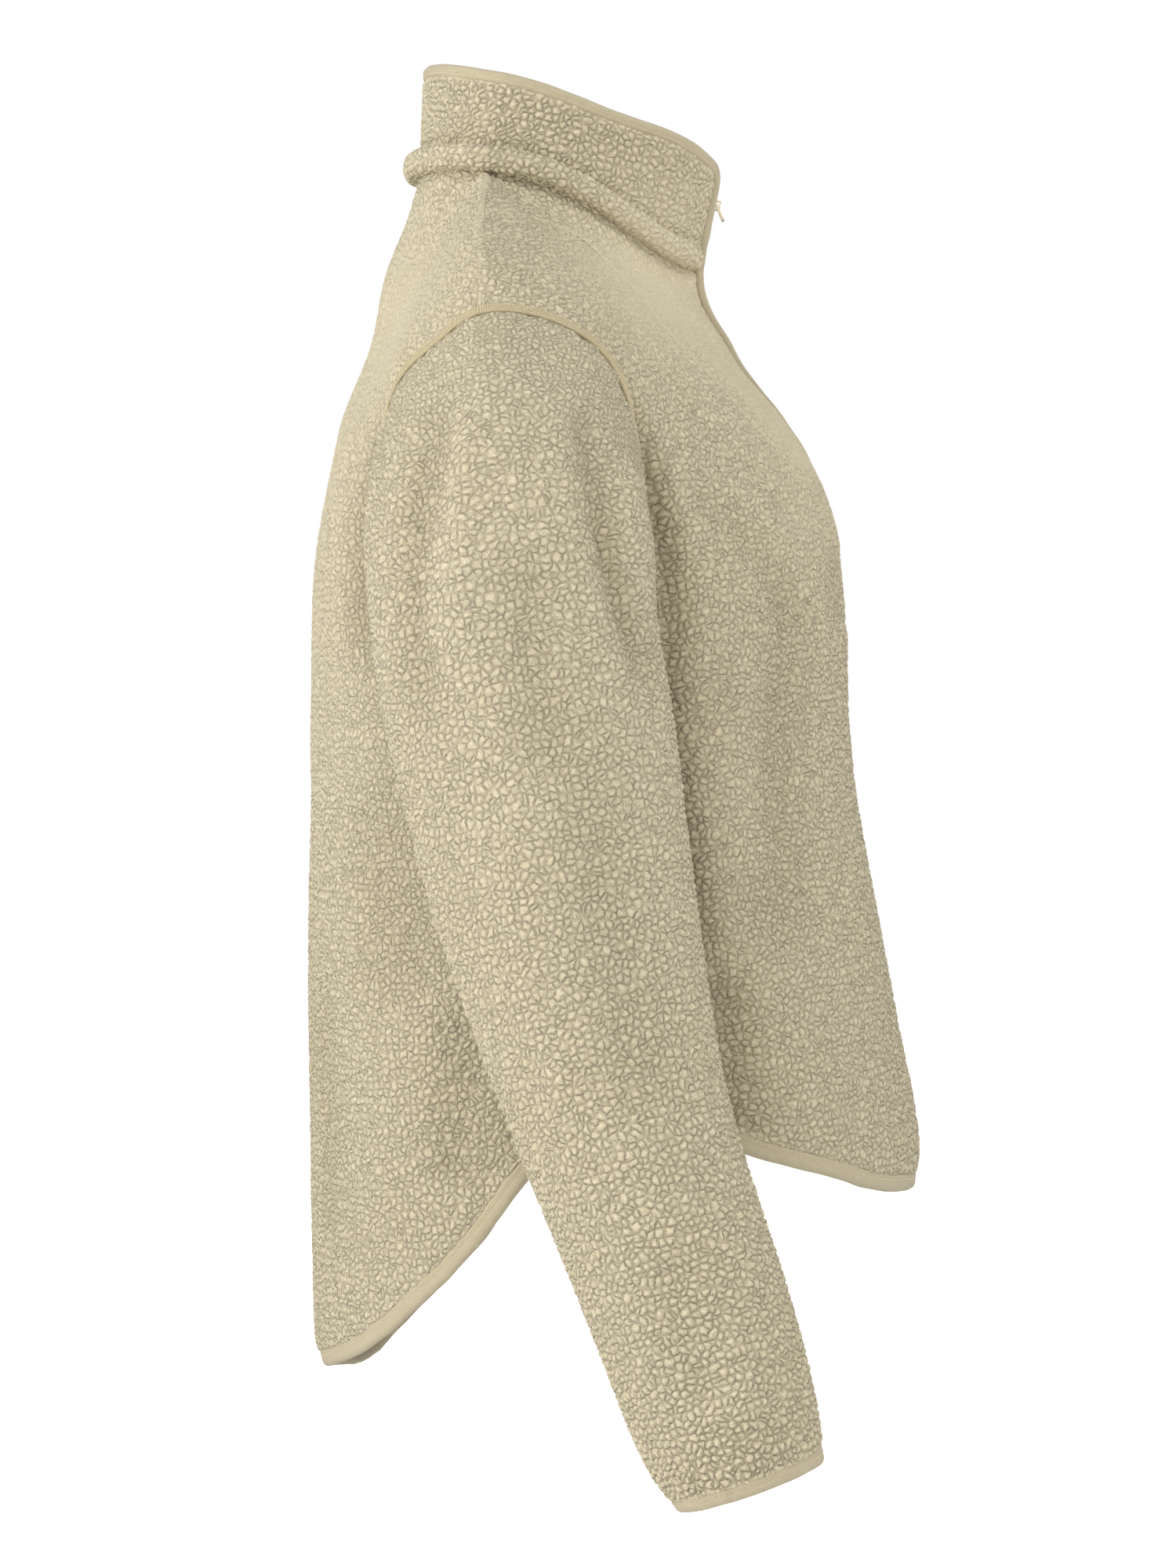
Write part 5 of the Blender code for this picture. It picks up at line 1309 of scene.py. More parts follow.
def outward_quads(points, normals, closed):
    """The grid's cells as corner rows and columns, turned outwards."""
    rows, columns = points.shape[:2]
    row, cell = np.meshgrid(
        np.arange(rows - 1), np.arange(columns if closed else columns - 1), indexing="ij"
    )
    here = row * columns + cell
    right = row * columns + (cell + 1) % columns
    quads = np.stack([here, right, right + columns, here + columns], axis=-1)
    r, c = rows // 2, columns // 3
    across = points[r, (c + 1) % columns] - points[r, c]
    down = points[r + 1, c] - points[r, c]
    if np.cross(across, down) @ normals[r, c] < 0:
        return quads, True
    return quads, False


def shell(node, outer, normals, look, flat, nub, painted_shade, closed=False, opened=None):
    """A fleece piece: a fine outer side, a coarse inner side, and the cut edge between them.

    flat is the same grid laid out flat and nub how raised the nubs are; the grid after nub gives how much
    painted shade darkens the pile in folds and beside seams. opened marks the coarse cells that are left
    out, such as the zip's slit.
    """
    rows, columns = outer.shape[:2]
    inner = (outer - normals * WALL)[::COARSE, ::COARSE]
    coarse_rows, coarse_columns = inner.shape[:2]
    quads, turned = outward_quads(outer, normals, closed)
    kept = np.ones((coarse_rows - 1, coarse_columns if closed else coarse_columns - 1), bool)
    if opened is not None:
        kept &= ~opened
    fine = np.repeat(np.repeat(kept, COARSE, axis=0), COARSE, axis=1)
    base = rows * columns
    outer_faces = quads[fine]
    coarse_quads, _ = outward_quads(inner, normals[::COARSE, ::COARSE], closed)
    inner_faces = coarse_quads[kept][:, ::-1] + base
    if turned:
        outer_faces = outer_faces[:, ::-1]
        inner_faces = inner_faces[:, ::-1]

    rim = []
    sides = (((0, 0), (0, 1)), ((0, 1), (1, 1)), ((1, 1), (1, 0)), ((1, 0), (0, 0)))
    beyond = ((-1, 0), (0, 1), (1, 0), (0, -1))
    cell_rows, cell_columns = kept.shape
    for r, c in np.argwhere(kept):
        for ((r0, c0), (r1, c1)), (dr, dc) in zip(sides, beyond):
            nr, nc = r + dr, c + dc
            if closed:
                nc %= cell_columns
            if 0 <= nr < cell_rows and 0 <= nc < cell_columns and kept[nr, nc]:
                continue
            start = np.array([r + r0, c + c0]) * COARSE
            end = np.array([r + r1, c + c1]) * COARSE
            line = []
            for k in range(COARSE + 1):
                at = start + (end - start) * k // COARSE
                line.append(int(at[0] * columns + at[1] % columns))
            near = base + int((r + r0) * coarse_columns + (c + c0) % coarse_columns)
            far = base + int((r + r1) * coarse_columns + (c + c1) % coarse_columns)
            half = COARSE // 2
            strip = [(line[k + 1], line[k], near) for k in range(half)]
            strip.append((line[half], near, far))
            strip += [(line[k + 1], line[k], far) for k in range(half, COARSE)]
            rim += [face[::-1] for face in strip] if turned else strip
    points = np.concatenate([outer.reshape(-1, 3), inner.reshape(-1, 3)])
    faces = outer_faces.tolist() + inner_faces.tolist() + rim
    used = np.zeros(len(points), bool)
    used[np.concatenate([outer_faces.ravel(), inner_faces.ravel()])] = True
    used[[index for face in rim for index in face]] = True
    place = np.cumsum(used) - 1
    faces = [[int(place[index]) for index in face] for face in faces]
    hidden = np.zeros(coarse_rows * coarse_columns)
    values = {"nub": np.concatenate([nub.ravel(), hidden])}
    values["painted_shade"] = np.concatenate([painted_shade.ravel(), hidden])
    inner_flat = flat[::COARSE, ::COARSE]
    values["cloth"] = np.concatenate(
        [flat_vectors(part[..., 0], part[..., 1]) for part in (flat, inner_flat)]
    )
    values = {key: numbers[used] for key, numbers in values.items()}
    piece = new_piece(f"{node}_fleece", points[used], faces, look, values, node)
    inner_slot = np.zeros(len(faces), np.int32)
    inner_slot[len(outer_faces) : len(outer_faces) + len(inner_faces)] = 1
    piece.data.polygons.foreach_set("material_index", inner_slot)
    return piece


def raise_nubs(piece, group):
    """Applies the nubs' relief to the piece's own mesh."""
    relief = piece.modifiers.new("nubs", "NODES")
    relief.node_group = group
    graph = bpy.context.evaluated_depsgraph_get()
    plain = piece.data
    piece.data = bpy.data.meshes.new_from_object(piece.evaluated_get(graph))
    piece.data.name = piece.name
    piece.modifiers.clear()
    bpy.data.meshes.remove(plain)


def swept(name, sections, material, closed=False, node=None):
    """A piece through loops of points, joined end to end or capped."""
    count, around = sections.shape[:2]
    faces = []
    for k in range(count if closed else count - 1):
        here, there = k * around, (k + 1) % count * around
        for i in range(around):
            j = (i + 1) % around
            faces.append((here + i, here + j, there + j, there + i))
    if not closed:
        faces.append(tuple(range(around))[::-1])
        faces.append(tuple((count - 1) * around + i for i in range(around)))
    middle = sections.mean(axis=1)
    first = np.cross(sections[0, 1] - sections[0, 0], middle[1] - middle[0])
    if first @ (sections[0, 0] - middle[0]) > 0:
        faces = [face[::-1] for face in faces]
    run = np.repeat(along_line(middle)[:, None], around, axis=1)
    around_run = np.array([along_line(section) for section in sections])
    values = {"cloth": flat_vectors(around_run, run)}
    return new_piece(name, sections.reshape(-1, 3), faces, [material], values, node)


# One stitch: rings of (along, radius), each a share of half its length and of half its width.
STITCH_RINGS = ((-1.0, 0.45), (-0.55, 1.0), (0.55, 1.0), (1.0, 0.45))
STITCH_AROUND = 4


def stitches(name, points, lengthways, outward, length, width, material, slot, node=None):
    """A row of stitches, each at one of the points."""
    sideways = unit(np.cross(lengthways, outward))
    turn = np.arange(STITCH_AROUND) / STITCH_AROUND * 2 * math.pi
    rings = []
    for along, radius in STITCH_RINGS:
        for angle in turn:
            ring = sideways * math.cos(angle) + outward * math.sin(angle)
            rings.append(points + lengthways * (along * length / 2) + ring * (radius * width / 2))
    corners = np.stack(rings, axis=1)
    per = corners.shape[1]
    pattern = []
    for k in range(len(STITCH_RINGS) - 1):
        for i in range(STITCH_AROUND):
            j = (i + 1) % STITCH_AROUND
            a, b = k * STITCH_AROUND, (k + 1) * STITCH_AROUND
            pattern.append((a + i, b + i, b + j, a + j))
    pattern.append(tuple(range(STITCH_AROUND)))
    pattern.append(tuple(per - STITCH_AROUND + i for i in range(STITCH_AROUND))[::-1])
    faces = []
    for k in range(len(points)):
        faces += [tuple(k * per + i for i in face) for face in pattern]
    return new_piece(name, corners.reshape(-1, 3), faces, [material], node=node)


def spaced(line, step):
    """Points every step along a line, with the line's other values read there too."""
    first, *others = line
    run = along_line(first)
    at = np.arange(step / 2, run[-1], step)
    read = []
    for values in (first, *others):
        read.append(np.stack([np.interp(at, run, values[:, axis]) for axis in range(3)], axis=-1))
    return read


# ---------------------------------------------------------------- the fleece
Fleece = namedtuple("Fleece", "grid normals push closed")


def facing_path(front):
    """The points of the facing's sewing on the front, from shoulder to shoulder."""
    line = np.array(FACING_LINE)
    run = along_line(line)
    at = np.arange(0, run[-1], FACING_STEP)
    seen = np.stack([spline(run, line[:, axis], at) for axis in range(2)], axis=-1)
    right = front[:, : front.shape[1] // 2].reshape(-1, 3)
    nearest = [np.argmin(np.linalg.norm(right[:, 1:] - place, axis=-1)) for place in seen]
    path = right[nearest]
    path[:, 1:] = seen
    for _ in range(FACING_ROUNDS):
        path[1:-1, 0] = (path[:-2, 0] + path[2:, 0]) / 2
    mirrored = path[::-1] * (-1, 1, 1)
    return path, mirrored


def within_facing(points):
    """1 between the facing's sewing and the zip, where the cloth is doubled, and 0 outside it."""
    line = np.array(FACING_LINE)[::-1]
    height = np.interp(points[..., 1], line[:, 0], line[:, 1])
    forward = smooth_step(-points[..., 1] / FACING_FADE)
    return forward * smooth_step((points[..., 2] - height) / FACING_BLEND)


def groove(points, paths):
    """How near each point of a grid lies to any of the paths, 1 on it and 0 away from it."""
    flat = points.reshape(-1, 3)
    nearest = np.full(len(flat), np.inf)
    for path in paths:
        low, high = path.min(axis=0) - 3 * FACING_WIDTH, path.max(axis=0) + 3 * FACING_WIDTH
        near = np.flatnonzero(np.all((flat > low) & (flat < high), axis=-1))
        for place in path:
            gap = np.linalg.norm(flat[near] - place, axis=-1)
            nearest[near] = np.minimum(nearest[near], gap)
    return np.exp(-((nearest / FACING_WIDTH) ** 2)).reshape(points.shape[:-1])


def beside_zip(name, points):
    """How near each point of a grid lies to the zip's two edges, 1 on them and 0 away from them."""
    if name == "collar":
        across = np.linalg.norm(np.diff(points, axis=1), axis=-1)
        run = np.concatenate([np.zeros((len(points), 1)), across.cumsum(axis=1)], axis=1)
        gap = np.minimum(run, run[:, -1:] - run)
    else:
        below = np.maximum(points[SLIT_ROW : SLIT_ROW + 1, :, 2] - points[..., 2], 0)
        gap = np.hypot(np.maximum(np.abs(points[..., 0]) - ZIP_EDGE_X, 0), below)
    return np.exp(-((gap / ZIP_DIP_WIDTH) ** 2))


def nub_strength(points, distance):
    """How raised the nubs are: less on the shoulders and chest, and hardly at the seams."""
    strength = np.ones(points.shape[:-1])
    for zone in CALM_ZONES:
        gap = np.linalg.norm((points - np.array(zone.middle)) / zone.reach, axis=-1)
        strength *= 1 - (1 - zone.strength) * np.exp(-(gap**2))
    return strength * (SEAM_NUB + (1 - SEAM_NUB) * smooth_step(distance / NUB_FADE))


def flat_cloth(fleece):
    """The grid laid out flat, a sleeve opened along its underarm, and its width and length."""
    if not fleece.closed:
        flat = laid_flat(fleece.grid)
        return flat, np.ptp(flat, axis=(0, 1))
    grid = np.roll(fleece.grid, -SLEEVE_COLUMNS, axis=1)
    flat = laid_flat(np.concatenate([grid, grid[:, :1]], axis=1))
    return np.roll(flat[:, :-1], SLEEVE_COLUMNS, axis=1), np.ptp(flat, axis=(0, 1))


def to_step(size, step):
    return round(round(float(size) / step) * step, 4)


def flat_size(name, fleece, laid):
    """Width, length and area of a fleece piece. The collar is followed along its foot and roll."""
    grid = fleece.grid
    if name == "collar":
        up = np.linalg.norm(np.diff(grid, axis=0), axis=-1).sum(axis=0)
        width, length, step = along_line(grid[0])[-1], up.max(), LENGTH_STEP
    else:
        (width, length), step = laid, LAID_STEP
    if fleece.closed:
        grid = np.concatenate([grid, grid[:, :1]], axis=1)
    cells = np.cross(grid[1:, 1:] - grid[:-1, :-1], grid[1:, :-1] - grid[:-1, 1:]) / 2
    area = np.linalg.norm(cells, axis=-1).sum()
    return to_step(width, step), to_step(length, step), to_step(area, AREA_STEP)


def band_size(piece, closed):
    """Width and length of a binding: half its surface over the length along its middle."""
    corners = np.array([vertex.co[:] for vertex in piece.data.vertices])
    middle = corners.reshape(-1, BINDING_AROUND, 3).mean(axis=1)
    length = along_line(np.concatenate([middle, middle[:1]]) if closed else middle)[-1]
    half = sum(face.area for face in piece.data.polygons) / 2
    return to_step(half / length, WIDTH_STEP), to_step(length, LENGTH_STEP), None


def build_fleece(look, group):
    """The panels, sleeves and collar.

    Returns their plain grids, the collar's frame, the facing's sewing, the pieces and flat sizes.
    """
    made = {}
    for panel in (FRONT, BACK):
        grid, push = body_grid(panel)
        made[panel.name] = Fleece(grid, outward_normals(grid, False, TRUNK_MIDDLE), push, False)
    for side, name in SLEEVES:
        grid, push = sleeve_grid(side)
        middle = grid[SLEEVE_ROWS // 2].mean(axis=0)
        made[name] = Fleece(grid, outward_normals(grid, True, middle), push, True)
    collar = make_collar_frame()
    grid = collar.grid()
    # The crease above the collar's roll is painted shade only: its push darkens the pile and does not move
    # the collar.
    off_crease = (np.arange(len(grid)) - COLLAR_ROLL_ROWS * CREASE_PLACE) / CREASE_ROWS
    push = np.broadcast_to(-PAINTED_CREASE_DEPTH * np.exp(-(off_crease**2))[:, None], grid.shape[:2])
    made["collar"] = Fleece(grid, outward_normals(grid, False, NECK_MIDDLE), push, False)

    paths = facing_path(made["front_panel"].grid)
    pieces, sizes = {}, {}
    for number, (name, fleece) in enumerate(made.items()):
        distance = edge_distance(fleece.grid, fleece.closed)
        nub = nub_strength(fleece.grid, distance)
        bound = np.linalg.norm(fleece.grid - fleece.grid[-1:], axis=-1)
        sunk = SEAM_TUCK * np.exp(-((distance / SEAM_WIDTH) ** 2))
        sunk = sunk * (1 - BOUND_SHARE * np.exp(-((bound / SEAM_WIDTH) ** 2)))
        opened = None
        dip = 0.0
        if name in ("front_panel", "collar"):
            dip = ZIP_DIP * beside_zip(name, fleece.grid)
        if name == "front_panel":
            opened = np.zeros([(count - 1) // COARSE for count in fleece.grid.shape[:2]], bool)
            middle = opened.shape[1] // 2
            half = CENTRE_COLUMNS // COARSE // 2 + 1
            opened[: SLIT_ROW // COARSE, middle - half + 1 : middle + half] = True
            sewn = groove(fleece.grid, paths)
            sunk = sunk + FACING_GROOVE * sewn
            nub = nub * (1 - FACING_NUB * sewn) * (1 - FACING_CALM * within_facing(fleece.grid))
        # Painted shade: darker in the folds' troughs and where the cloth is drawn in at seams and in the
        # facing's groove.
        painted_shade = np.clip(-fleece.push / DEEPEST_FOLD, 0, 1) + SEAM_SHADE * sunk / SEAM_TUCK
        outer = fleece.grid - fleece.normals * (sunk + dip)[..., None]
        flat, laid = flat_cloth(fleece)
        flat = flat + number
        piece = shell(name, outer, fleece.normals, look, flat, nub, painted_shade, fleece.closed, opened)
        sizes[name] = flat_size(name, fleece, laid)
        raise_nubs(piece, group)
        pieces[name] = piece
    return made, collar, paths, pieces, sizes


# ---------------------------------------------------------------- bindings
def smoothed(vectors, reach, closed):
    """Unit vectors along a line, each averaged with its neighbours."""
    total = np.zeros_like(vectors)
    for step in range(-reach, reach + 1):
        if closed:
            total += np.roll(vectors, step, axis=0)
        else:
            index = np.clip(np.arange(len(vectors)) + step, 0, len(vectors) - 1)
            total += vectors[index]
    return unit(total)


def ripple(run, seed):
    """An uneven wave between -1 and 1 along a line."""
    total = np.zeros_like(run)
    for k, length in enumerate(RIPPLE_LENGTHS):
        total += np.sin(run / length * 2 * math.pi + seed * 2.1 + k * 1.7) / 3
    return total


def beside_zip_edge(points):
    """1 where an edge runs beside the zip, 0 elsewhere."""
    reach, over = BESIDE_ZIP
    return smooth_step((reach - np.abs(points[:, :1])) / over) * (points[:, 1:2] < 0)


def binding(node, edge, outward, off, width, material, closed, seed):
    """A folded binding along a cloth's edge, and the lines that its sewing follows.

    Beside the zip its free edge turns down to the cloth, which lies deeper there.
    """
    run = along_line(edge)
    uneven = ripple(run, seed)[:, None]
    middle = edge - outward * (WALL / 2 - BINDING_RIPPLE * uneven)
    half = BINDING_THICKNESS / 2
    wide = width * (1 + BINDING_UNEVEN * ripple(run, seed + 5)[:, None])
    loops = []
    down = BINDING_KNIT + ZIP_DIP * beside_zip_edge(edge)
    folded_round = [(1, *place) for place in BINDING_HALF]
    folded_round += [(-1, *place) for place in BINDING_HALF[::-1]]
    for knit, sides in ((0.0, folded_round), (BINDING_KNIT, folded_round[::-1])):
        for way, across, through in sides:
            past = SEAM_GAP + across * (wide - knit)
            loops.append(middle + off * past + outward * (way * through * (half - knit)))
        turned = middle + off * (SEAM_GAP + BINDING_HALF[0][0] * wide + knit)
        turned = turned + outward * (BINDING_HALF[0][1] * half - down)
        loops.insert(len(loops) if knit else 0, turned)
    sections = np.stack(loops, axis=1)
    return swept(f"{node}_knit", sections, material, closed, node), middle, wide


def sew_binding(name, middle, outward, off, width, material, closed):
    """The row of stitches in the groove of a binding's outer face."""
    half = BINDING_THICKNESS / 2
    line = middle + off * (SEAM_GAP + STITCH_SHARE * width) + outward * (STITCH_HEIGHT * half)
    if closed:
        line, outward = (np.concatenate([part, part[:1]]) for part in (line, outward))
    tangent = tangents_of(line)
    points, lengthways, facing = spaced((line, tangent, outward), STITCH_PITCH)
    lengthways, facing = unit(lengthways), unit(facing)
    return stitches(
        name, points, lengthways, facing, STITCH_LENGTH, STITCH_WIDTH, material, "binding"
    )


def resampled(step, closed, *lines):
    """Lines of points and vectors, read evenly along the first of them."""
    first = lines[0]
    if closed:
        lines = [np.concatenate([line, line[:1]]) for line in lines]
        first = lines[0]
    run = along_line(first)
    count = int(round(run[-1] / step))
    at = np.linspace(0, run[-1], count + 1)
    if closed:
        at = at[:-1]
    return [
        np.stack([np.interp(at, run, line[:, axis]) for axis in range(3)], axis=-1) for line in lines
    ]


def build_bindings(grids, collar, binding_look, thread):
    """The bindings of the hem, cuffs and collar, each with its row of stitches."""
    front, front_normals = grids["front_panel"][:2]
    back, back_normals = grids["back_panel"][:2]
    edge = np.concatenate([front[-1], back[-1][-2:0:-1]])
    outward = np.concatenate([front_normals[-1], back_normals[-1][-2:0:-1]])
    pieces = {}
    loops = [("hem_binding", "hem_stitches", edge, outward, HEM_BINDING_WIDTH)]
    for side, sleeve in SLEEVES:
        hand = "left" if side > 0 else "right"
        grid, normals = grids[sleeve][:2]
        names = (f"cuff_binding_{hand}", f"cuff_stitches_{hand}")
        loops.append((*names, grid[-1], normals[-1], CUFF_BINDING_WIDTH))
    for seed, (name, sewing, edge, outward, width) in enumerate(loops):
        edge, outward = resampled(BINDING_STEP, True, edge, outward)
        outward = smoothed(outward, BINDING_SMOOTHING, True)
        down = unit(np.cross(tangents_of(edge, closed=True), outward))
        down *= -np.sign(down[:, 2:])
        piece, middle, wide = binding(name, edge, outward, down, width, binding_look, True, seed)
        pieces[name] = (piece, sew_binding(sewing, middle, outward, down, wide, thread, True))

    paths = []
    faces = []
    for cell, end in ((ZIP_RIGHT, 0), (ZIP_LEFT, -1)):
        line = front[: SLIT_ROW + 1, cell][::-1]
        normals = front_normals[: SLIT_ROW + 1, cell][::-1].copy()
        normals[:, 0] = 0
        rise = np.linspace(collar.foot[end], collar.edge[end], RISE_POINTS)[1:-1]
        paths.append(np.concatenate([line, rise]))
        faces.append(np.concatenate([unit(normals), [collar.outward[end]] * len(rise)]))
    path = np.concatenate([paths[0], collar.edge, paths[1][::-1]])
    outward = unit(np.concatenate([faces[0], collar.outward, faces[1][::-1]]))
    path, outward = resampled(BINDING_STEP, False, path, outward)
    outward = smoothed(outward, EDGE_SMOOTHING, False)
    off = unit(np.cross(tangents_of(path), outward))
    off *= math.copysign(1, off[len(path) // 2, 2])
    piece, middle, wide = binding(
        "collar_binding", path, outward, off, EDGE_BINDING_WIDTH, binding_look, False, 3
    )
    sewing = sew_binding("collar_stitches", middle, outward, off, wide, thread, False)
    pieces["collar_binding"] = (piece, sewing)
    return pieces


# ---------------------------------------------------------------- the armhole seams
def build_armhole_seams(grids, thread, band_look):
    """Rows of cover thread on a narrow band, all round each armhole seam."""
    for side, sleeve in SLEEVES:
        hand = "left" if side > 0 else "right"
        front, front_normals = grids["front_panel"][:2]
        back, back_normals = grids["back_panel"][:2]
        edge = -1 if side > 0 else 0
        beside = -3 if side > 0 else 2
        front_rows = slice(0, FRONT.yoke_rows + 1)
        back_rows = slice(0, BACK.yoke_rows + 1)
        line = np.concatenate([front[front_rows, edge], back[back_rows, edge][-2:0:-1]])
        inside = np.concatenate([front[front_rows, beside], back[back_rows, beside][-2:0:-1]])
        normal = np.concatenate(
            [front_normals[front_rows, edge], back_normals[back_rows, edge][-2:0:-1]]
        )
        grid, normals = grids[sleeve][:2]
        nearest = np.argmin(np.linalg.norm(line[:, None] - grid[0][None], axis=-1), axis=1)
        outside = grid[3][nearest]
        normal = unit(normal + normals[1][nearest])
        line, inside, outside, normal = resampled(SEAM_STEP, True, line, inside, outside, normal)
        normal = smoothed(normal, SEAM_SMOOTHING, True)
        tangent = tangents_of(line, closed=True)
        ways = []
        for beyond in (inside, outside):
            way = beyond - line
            way = unit(way - tangent * np.sum(way * tangent, axis=-1, keepdims=True))
            ways.append(smoothed(way, SEAM_SMOOTHING, True))
        to_body, to_sleeve = ways

        sunk = normal * (HIDDEN_SEAM_DEPTH * hidden_seam(line))[:, None]

        def at(offset, lift):
            way = to_body if offset > 0 else to_sleeve
            return line + way * abs(offset) + normal * lift - sunk

        top = []
        for offset in COVER_BAND:
            turned_down = COVER_EDGE * (offset in (COVER_BAND[0], COVER_BAND[-1]))
            top.append(at(offset, COVER_LIFT - turned_down))
        bottom = [at(offset, COVER_LIFT - COVER_THICKNESS) for offset in COVER_BAND[::-1]]
        sections = np.stack(top + bottom, axis=1)
        swept(f"armhole_band_{hand}", sections, band_look, True)
        for number, offset in enumerate(COVER_OFFSETS):
            row = at(offset, COVER_LIFT)
            closed = [np.concatenate([part, part[:1]]) for part in (row, to_body, normal)]
            points, lengthways, facing = spaced(closed, COVER_PITCH)
            name = f"armhole_stitches_{hand}_{number + 1}"
            sizes = (COVER_LENGTH, COVER_WIDTH)
            stitches(name, points, unit(lengthways), unit(facing), *sizes, thread, "sherpa_fleece")


def build_facing_seam(grids, paths, thread):
    """The stitches that hold the facing, sunk in their groove on each side of the front."""
    front, normals = grids["front_panel"][:2]
    corners, facings = front.reshape(-1, 3), normals.reshape(-1, 3)
    for hand, path in zip(("right", "left"), paths):
        nearest = [np.argmin(np.linalg.norm(corners - place, axis=-1)) for place in path]
        outward = smoothed(facings[nearest], FACING_SMOOTHING, False)
        line = path - outward * (FACING_GROOVE + FACING_SINK)
        points, lengthways, facing = spaced((line, tangents_of(line), outward), FACING_PITCH)
        sizes = (FACING_LENGTH, FACING_THREAD)
        name = f"facing_stitches_{hand}"
        stitches(name, points, unit(lengthways), unit(facing), *sizes, thread, "sherpa_fleece")


# ---------------------------------------------------------------- the zip
class ZipLine:
    """The zip's middle line from the slit's end to the collar's top."""

    def __init__(self, grids, collar):
        front, front_normals = grids["front_panel"][:2]
        line = front[: SLIT_ROW + 1, ZIP_LEFT][::-1]
        facing = front_normals[: SLIT_ROW + 1, ZIP_LEFT][::-1]
        rise = np.linspace(collar.foot[-1], collar.edge[-1], ZIP_RISE_POINTS)[1:]
        self.points = np.concatenate([line, rise])
        self.facing = np.concatenate([facing, [collar.outward[-1]] * len(rise)])
        self.points[:, 0] = 0
        self.facing[:, 0] = 0
        self.heights = self.points[:, 2]

    def at(self, z):
        """The middle points at these heights, and the way the zip faces there."""
        point = [np.interp(z, self.heights, self.points[:, axis]) for axis in range(3)]
        facing = [np.interp(z, self.heights, self.facing[:, axis]) for axis in range(3)]
        return np.stack(point, axis=-1), unit(np.stack(facing, axis=-1))


def build_zip(grids, collar, tape_look, coil_look):
    """The zip's two tapes and its teeth, closed below the slider and parted above it."""
    line = ZipLine(grids, collar)
    foot, head = line.heights[0], line.heights[-1]
    tapes = {}
    right = np.array([1.0, 0.0, 0.0])
    for side, hand in ((-1, "right"), (1, "left")):
        z = np.linspace(foot - TAPE_BELOW, head - TAPE_TOP, TAPE_SECTIONS)
        middle, facing = line.at(z)
        near, far = TAPE_EDGES
        top, bottom = [], []
        for share in np.linspace(0, 1, TAPE_POINTS):
            x = side * (near + (far - near) * share)
            depth = TAPE_DEPTH + TAPE_SLANT * share
            top.append(middle + right * x - facing * (depth - TAPE_THICKNESS / 2))
            bottom.append(middle + right * x - facing * (depth + TAPE_THICKNESS / 2))
        node = f"zip_tape_{hand}"
        sections = np.stack(top + bottom[::-1], axis=1)
        tapes[node] = swept(f"{node}_weave", sections, tape_look, node=node)
    stop_top = foot + 2 * SEAM_GAP + STOP_LENGTH
    closed = np.arange(stop_top + TOOTH_PITCH, SLIDER_Z - SLIDER_HALF_LENGTH, TOOTH_PITCH / 2)
    tape_head = head - TAPE_TOP
    parted = np.arange(SLIDER_Z + SLIDER_HALF_LENGTH, tape_head - PARTED_TOP, TOOTH_PITCH)
    points, facings = [], []
    middle, facing = line.at(closed)
    lean = np.where(np.arange(len(closed)) % 2 == 0, 1.0, -1.0)[:, None]
    points.append(middle + right * (lean * MESHED_TEETH) - facing * COIL_DEPTH)
    facings.append(facing)
    for side in (-1, 1):
        middle, facing = line.at(parted)
        points.append(middle + right * (side * PARTED_TEETH) - facing * COIL_DEPTH)
        facings.append(facing)
    points = np.concatenate(points)
    facings = np.concatenate(facings)
    across = np.tile(right, (len(points), 1))
    sizes = (TOOTH_LENGTH, TOOTH_WIDTH)
    stitches("zip_teeth", points, across, facings, *sizes, coil_look, "zip_coil", "zip_coil")
    return tapes


# ---------------------------------------------------------------- the studio
def lamp(name, place, target, size, watts):
    data = bpy.data.lights.new(name, "AREA")
    data.shape = "DISK"
    data.size = size
    data.energy = watts
    made = bpy.data.objects.new(name, data)
    made.location = place
    way = np.array(target) - np.array(place)
    flat = math.hypot(way[0], way[1])
    made.rotation_euler = (math.atan2(flat, -way[2]), 0, math.atan2(-way[0], way[1]))
    bpy.context.scene.collection.objects.link(made)
    return made


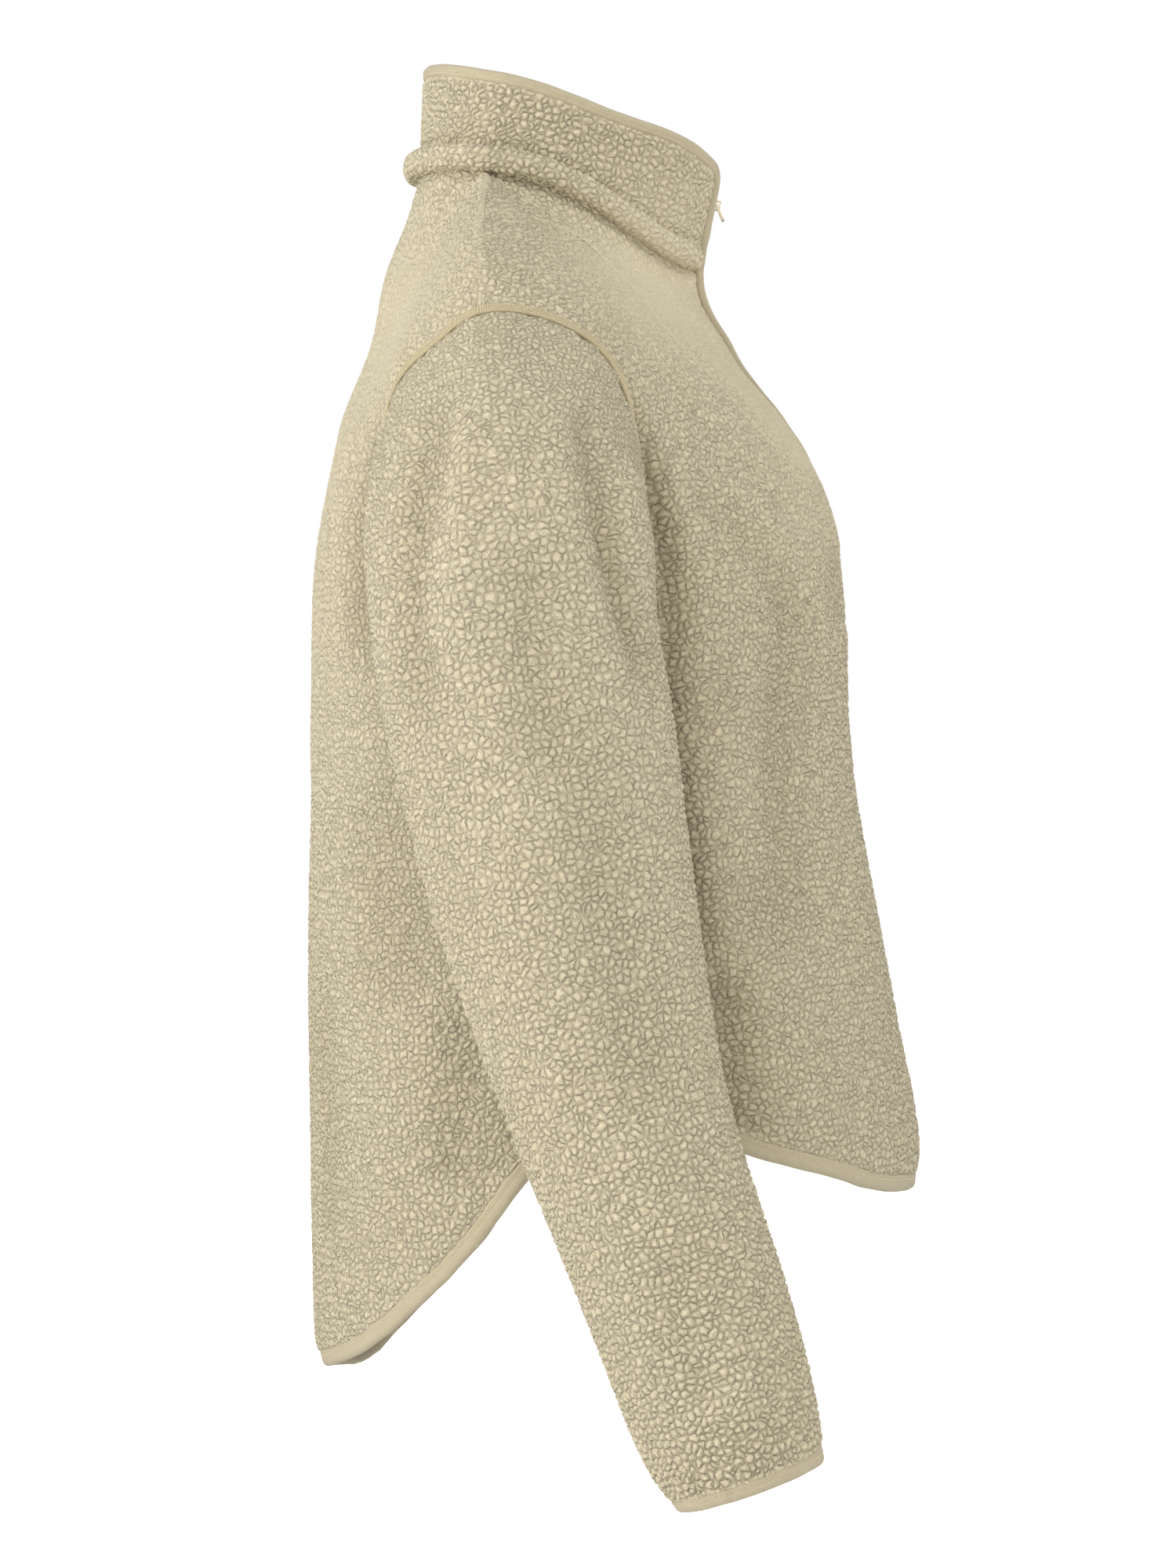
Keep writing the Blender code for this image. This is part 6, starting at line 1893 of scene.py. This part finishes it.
def build_studio():
    scene = bpy.context.scene
    camera_data = bpy.data.cameras.new("camera")
    camera_data.sensor_width = SENSOR_SIZE
    camera_data.lens = CAMERA_FOCAL / IMAGE_HEIGHT * SENSOR_SIZE
    camera = bpy.data.objects.new("camera", camera_data)
    camera.location = CAMERA_PLACE
    camera.rotation_euler = (math.radians(90), 0, math.radians(-90))
    scene.collection.objects.link(camera)
    scene.camera = camera

    floor_mesh = bpy.data.meshes.new("floor")
    turns = [2 * math.pi * k / FLOOR_SIDES for k in range(FLOOR_SIDES)]
    ring = [(FLOOR_RADIUS * math.cos(turn), FLOOR_RADIUS * math.sin(turn), 0) for turn in turns]
    floor_mesh.from_pydata(ring, [], [tuple(range(FLOOR_SIDES))])
    floor = bpy.data.objects.new("floor", floor_mesh)
    floor.location = (0, 0, FLOOR_Z)
    material, net, shader = new_material("studio_floor")
    set_inputs(shader, {"Base Color": rgba(FLOOR_COLOUR), "Roughness": 0.9})
    set_inputs(shader, {"Specular IOR Level": 0.0, "Emission Color": (1, 1, 1, 1)})
    seen = net.add("ShaderNodeLightPath").outputs["Is Camera Ray"]
    glow = net.math("MULTIPLY", seen, FLOOR_GLOW)
    net.join(glow, shader.inputs["Emission Strength"])
    floor_mesh.materials.append(material)
    scene.collection.objects.link(floor)

    world = bpy.data.worlds.new("studio")
    world.use_nodes = True
    net = Net(world.node_tree)
    background = world.node_tree.nodes["Background"]
    background.inputs["Color"].default_value = (1, 1, 1, 1)
    seen = net.add("ShaderNodeLightPath").outputs["Is Camera Ray"]
    strength = net.add("ShaderNodeMapRange", {"Value": seen, "To Min": WORLD_LIGHT, "To Max": 1.0})
    net.join(strength.outputs["Result"], background.inputs["Strength"])
    scene.world = world
    for light in LAMPS:
        lamp(*light)
    scene.view_settings.view_transform = "Standard"
    scene.view_settings.look = "None"


def main():
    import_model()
    fleece = fleece_material()
    backing = knit_material("fleece_back", BACKING, pitch=0.0012, relief=0.0003)
    binding_look = knit_material("smooth_binding", BINDING, pitch=0.0009, relief=0.0003)
    band_look = knit_material("seam_band", BAND, pitch=0.0010, relief=0.0003)
    tape_look = knit_material("woven_tape", TAPE, pitch=0.0007, relief=0.0002)
    thread = thread_material("sewing_thread", THREAD)
    # the facing's stitches get thread darkened as painted shade for their groove
    groove_shaded_thread = thread_material("groove_shaded_thread", GROOVE_SHADED_THREAD)
    metal = hard_material("painted_zip_metal", METAL, roughness=0.42, metallic=0.5)
    coil = hard_material("zip_coil_plastic", COIL, roughness=0.45, metallic=0.0)

    grids, collar, paths, pieces, sizes = build_fleece([fleece, backing], relief_group())
    sewn = {name: () for name in pieces}
    for name, (piece, sewing) in build_bindings(grids, collar, binding_look, thread).items():
        pieces[name] = piece
        sewn[name] = (sewing,)
        sizes[name] = band_size(piece, closed=name != "collar_binding")
    build_armhole_seams(grids, thread, band_look)
    build_facing_seam(grids, paths, groove_shaded_thread)
    tape_width = to_step(TAPE_EDGES[1] - TAPE_EDGES[0], WIDTH_STEP)
    for name, piece in build_zip(grids, collar, tape_look, coil).items():
        pieces[name] = piece
        sizes[name] = (tape_width, TAPE_LENGTH, None)
    for name in ("zip_slider", "zip_pull_tab", "zip_bottom_stop"):
        node = bpy.data.objects[name]
        node.data.materials.clear()
        node.data.materials.append(metal)
    build_studio()


main()
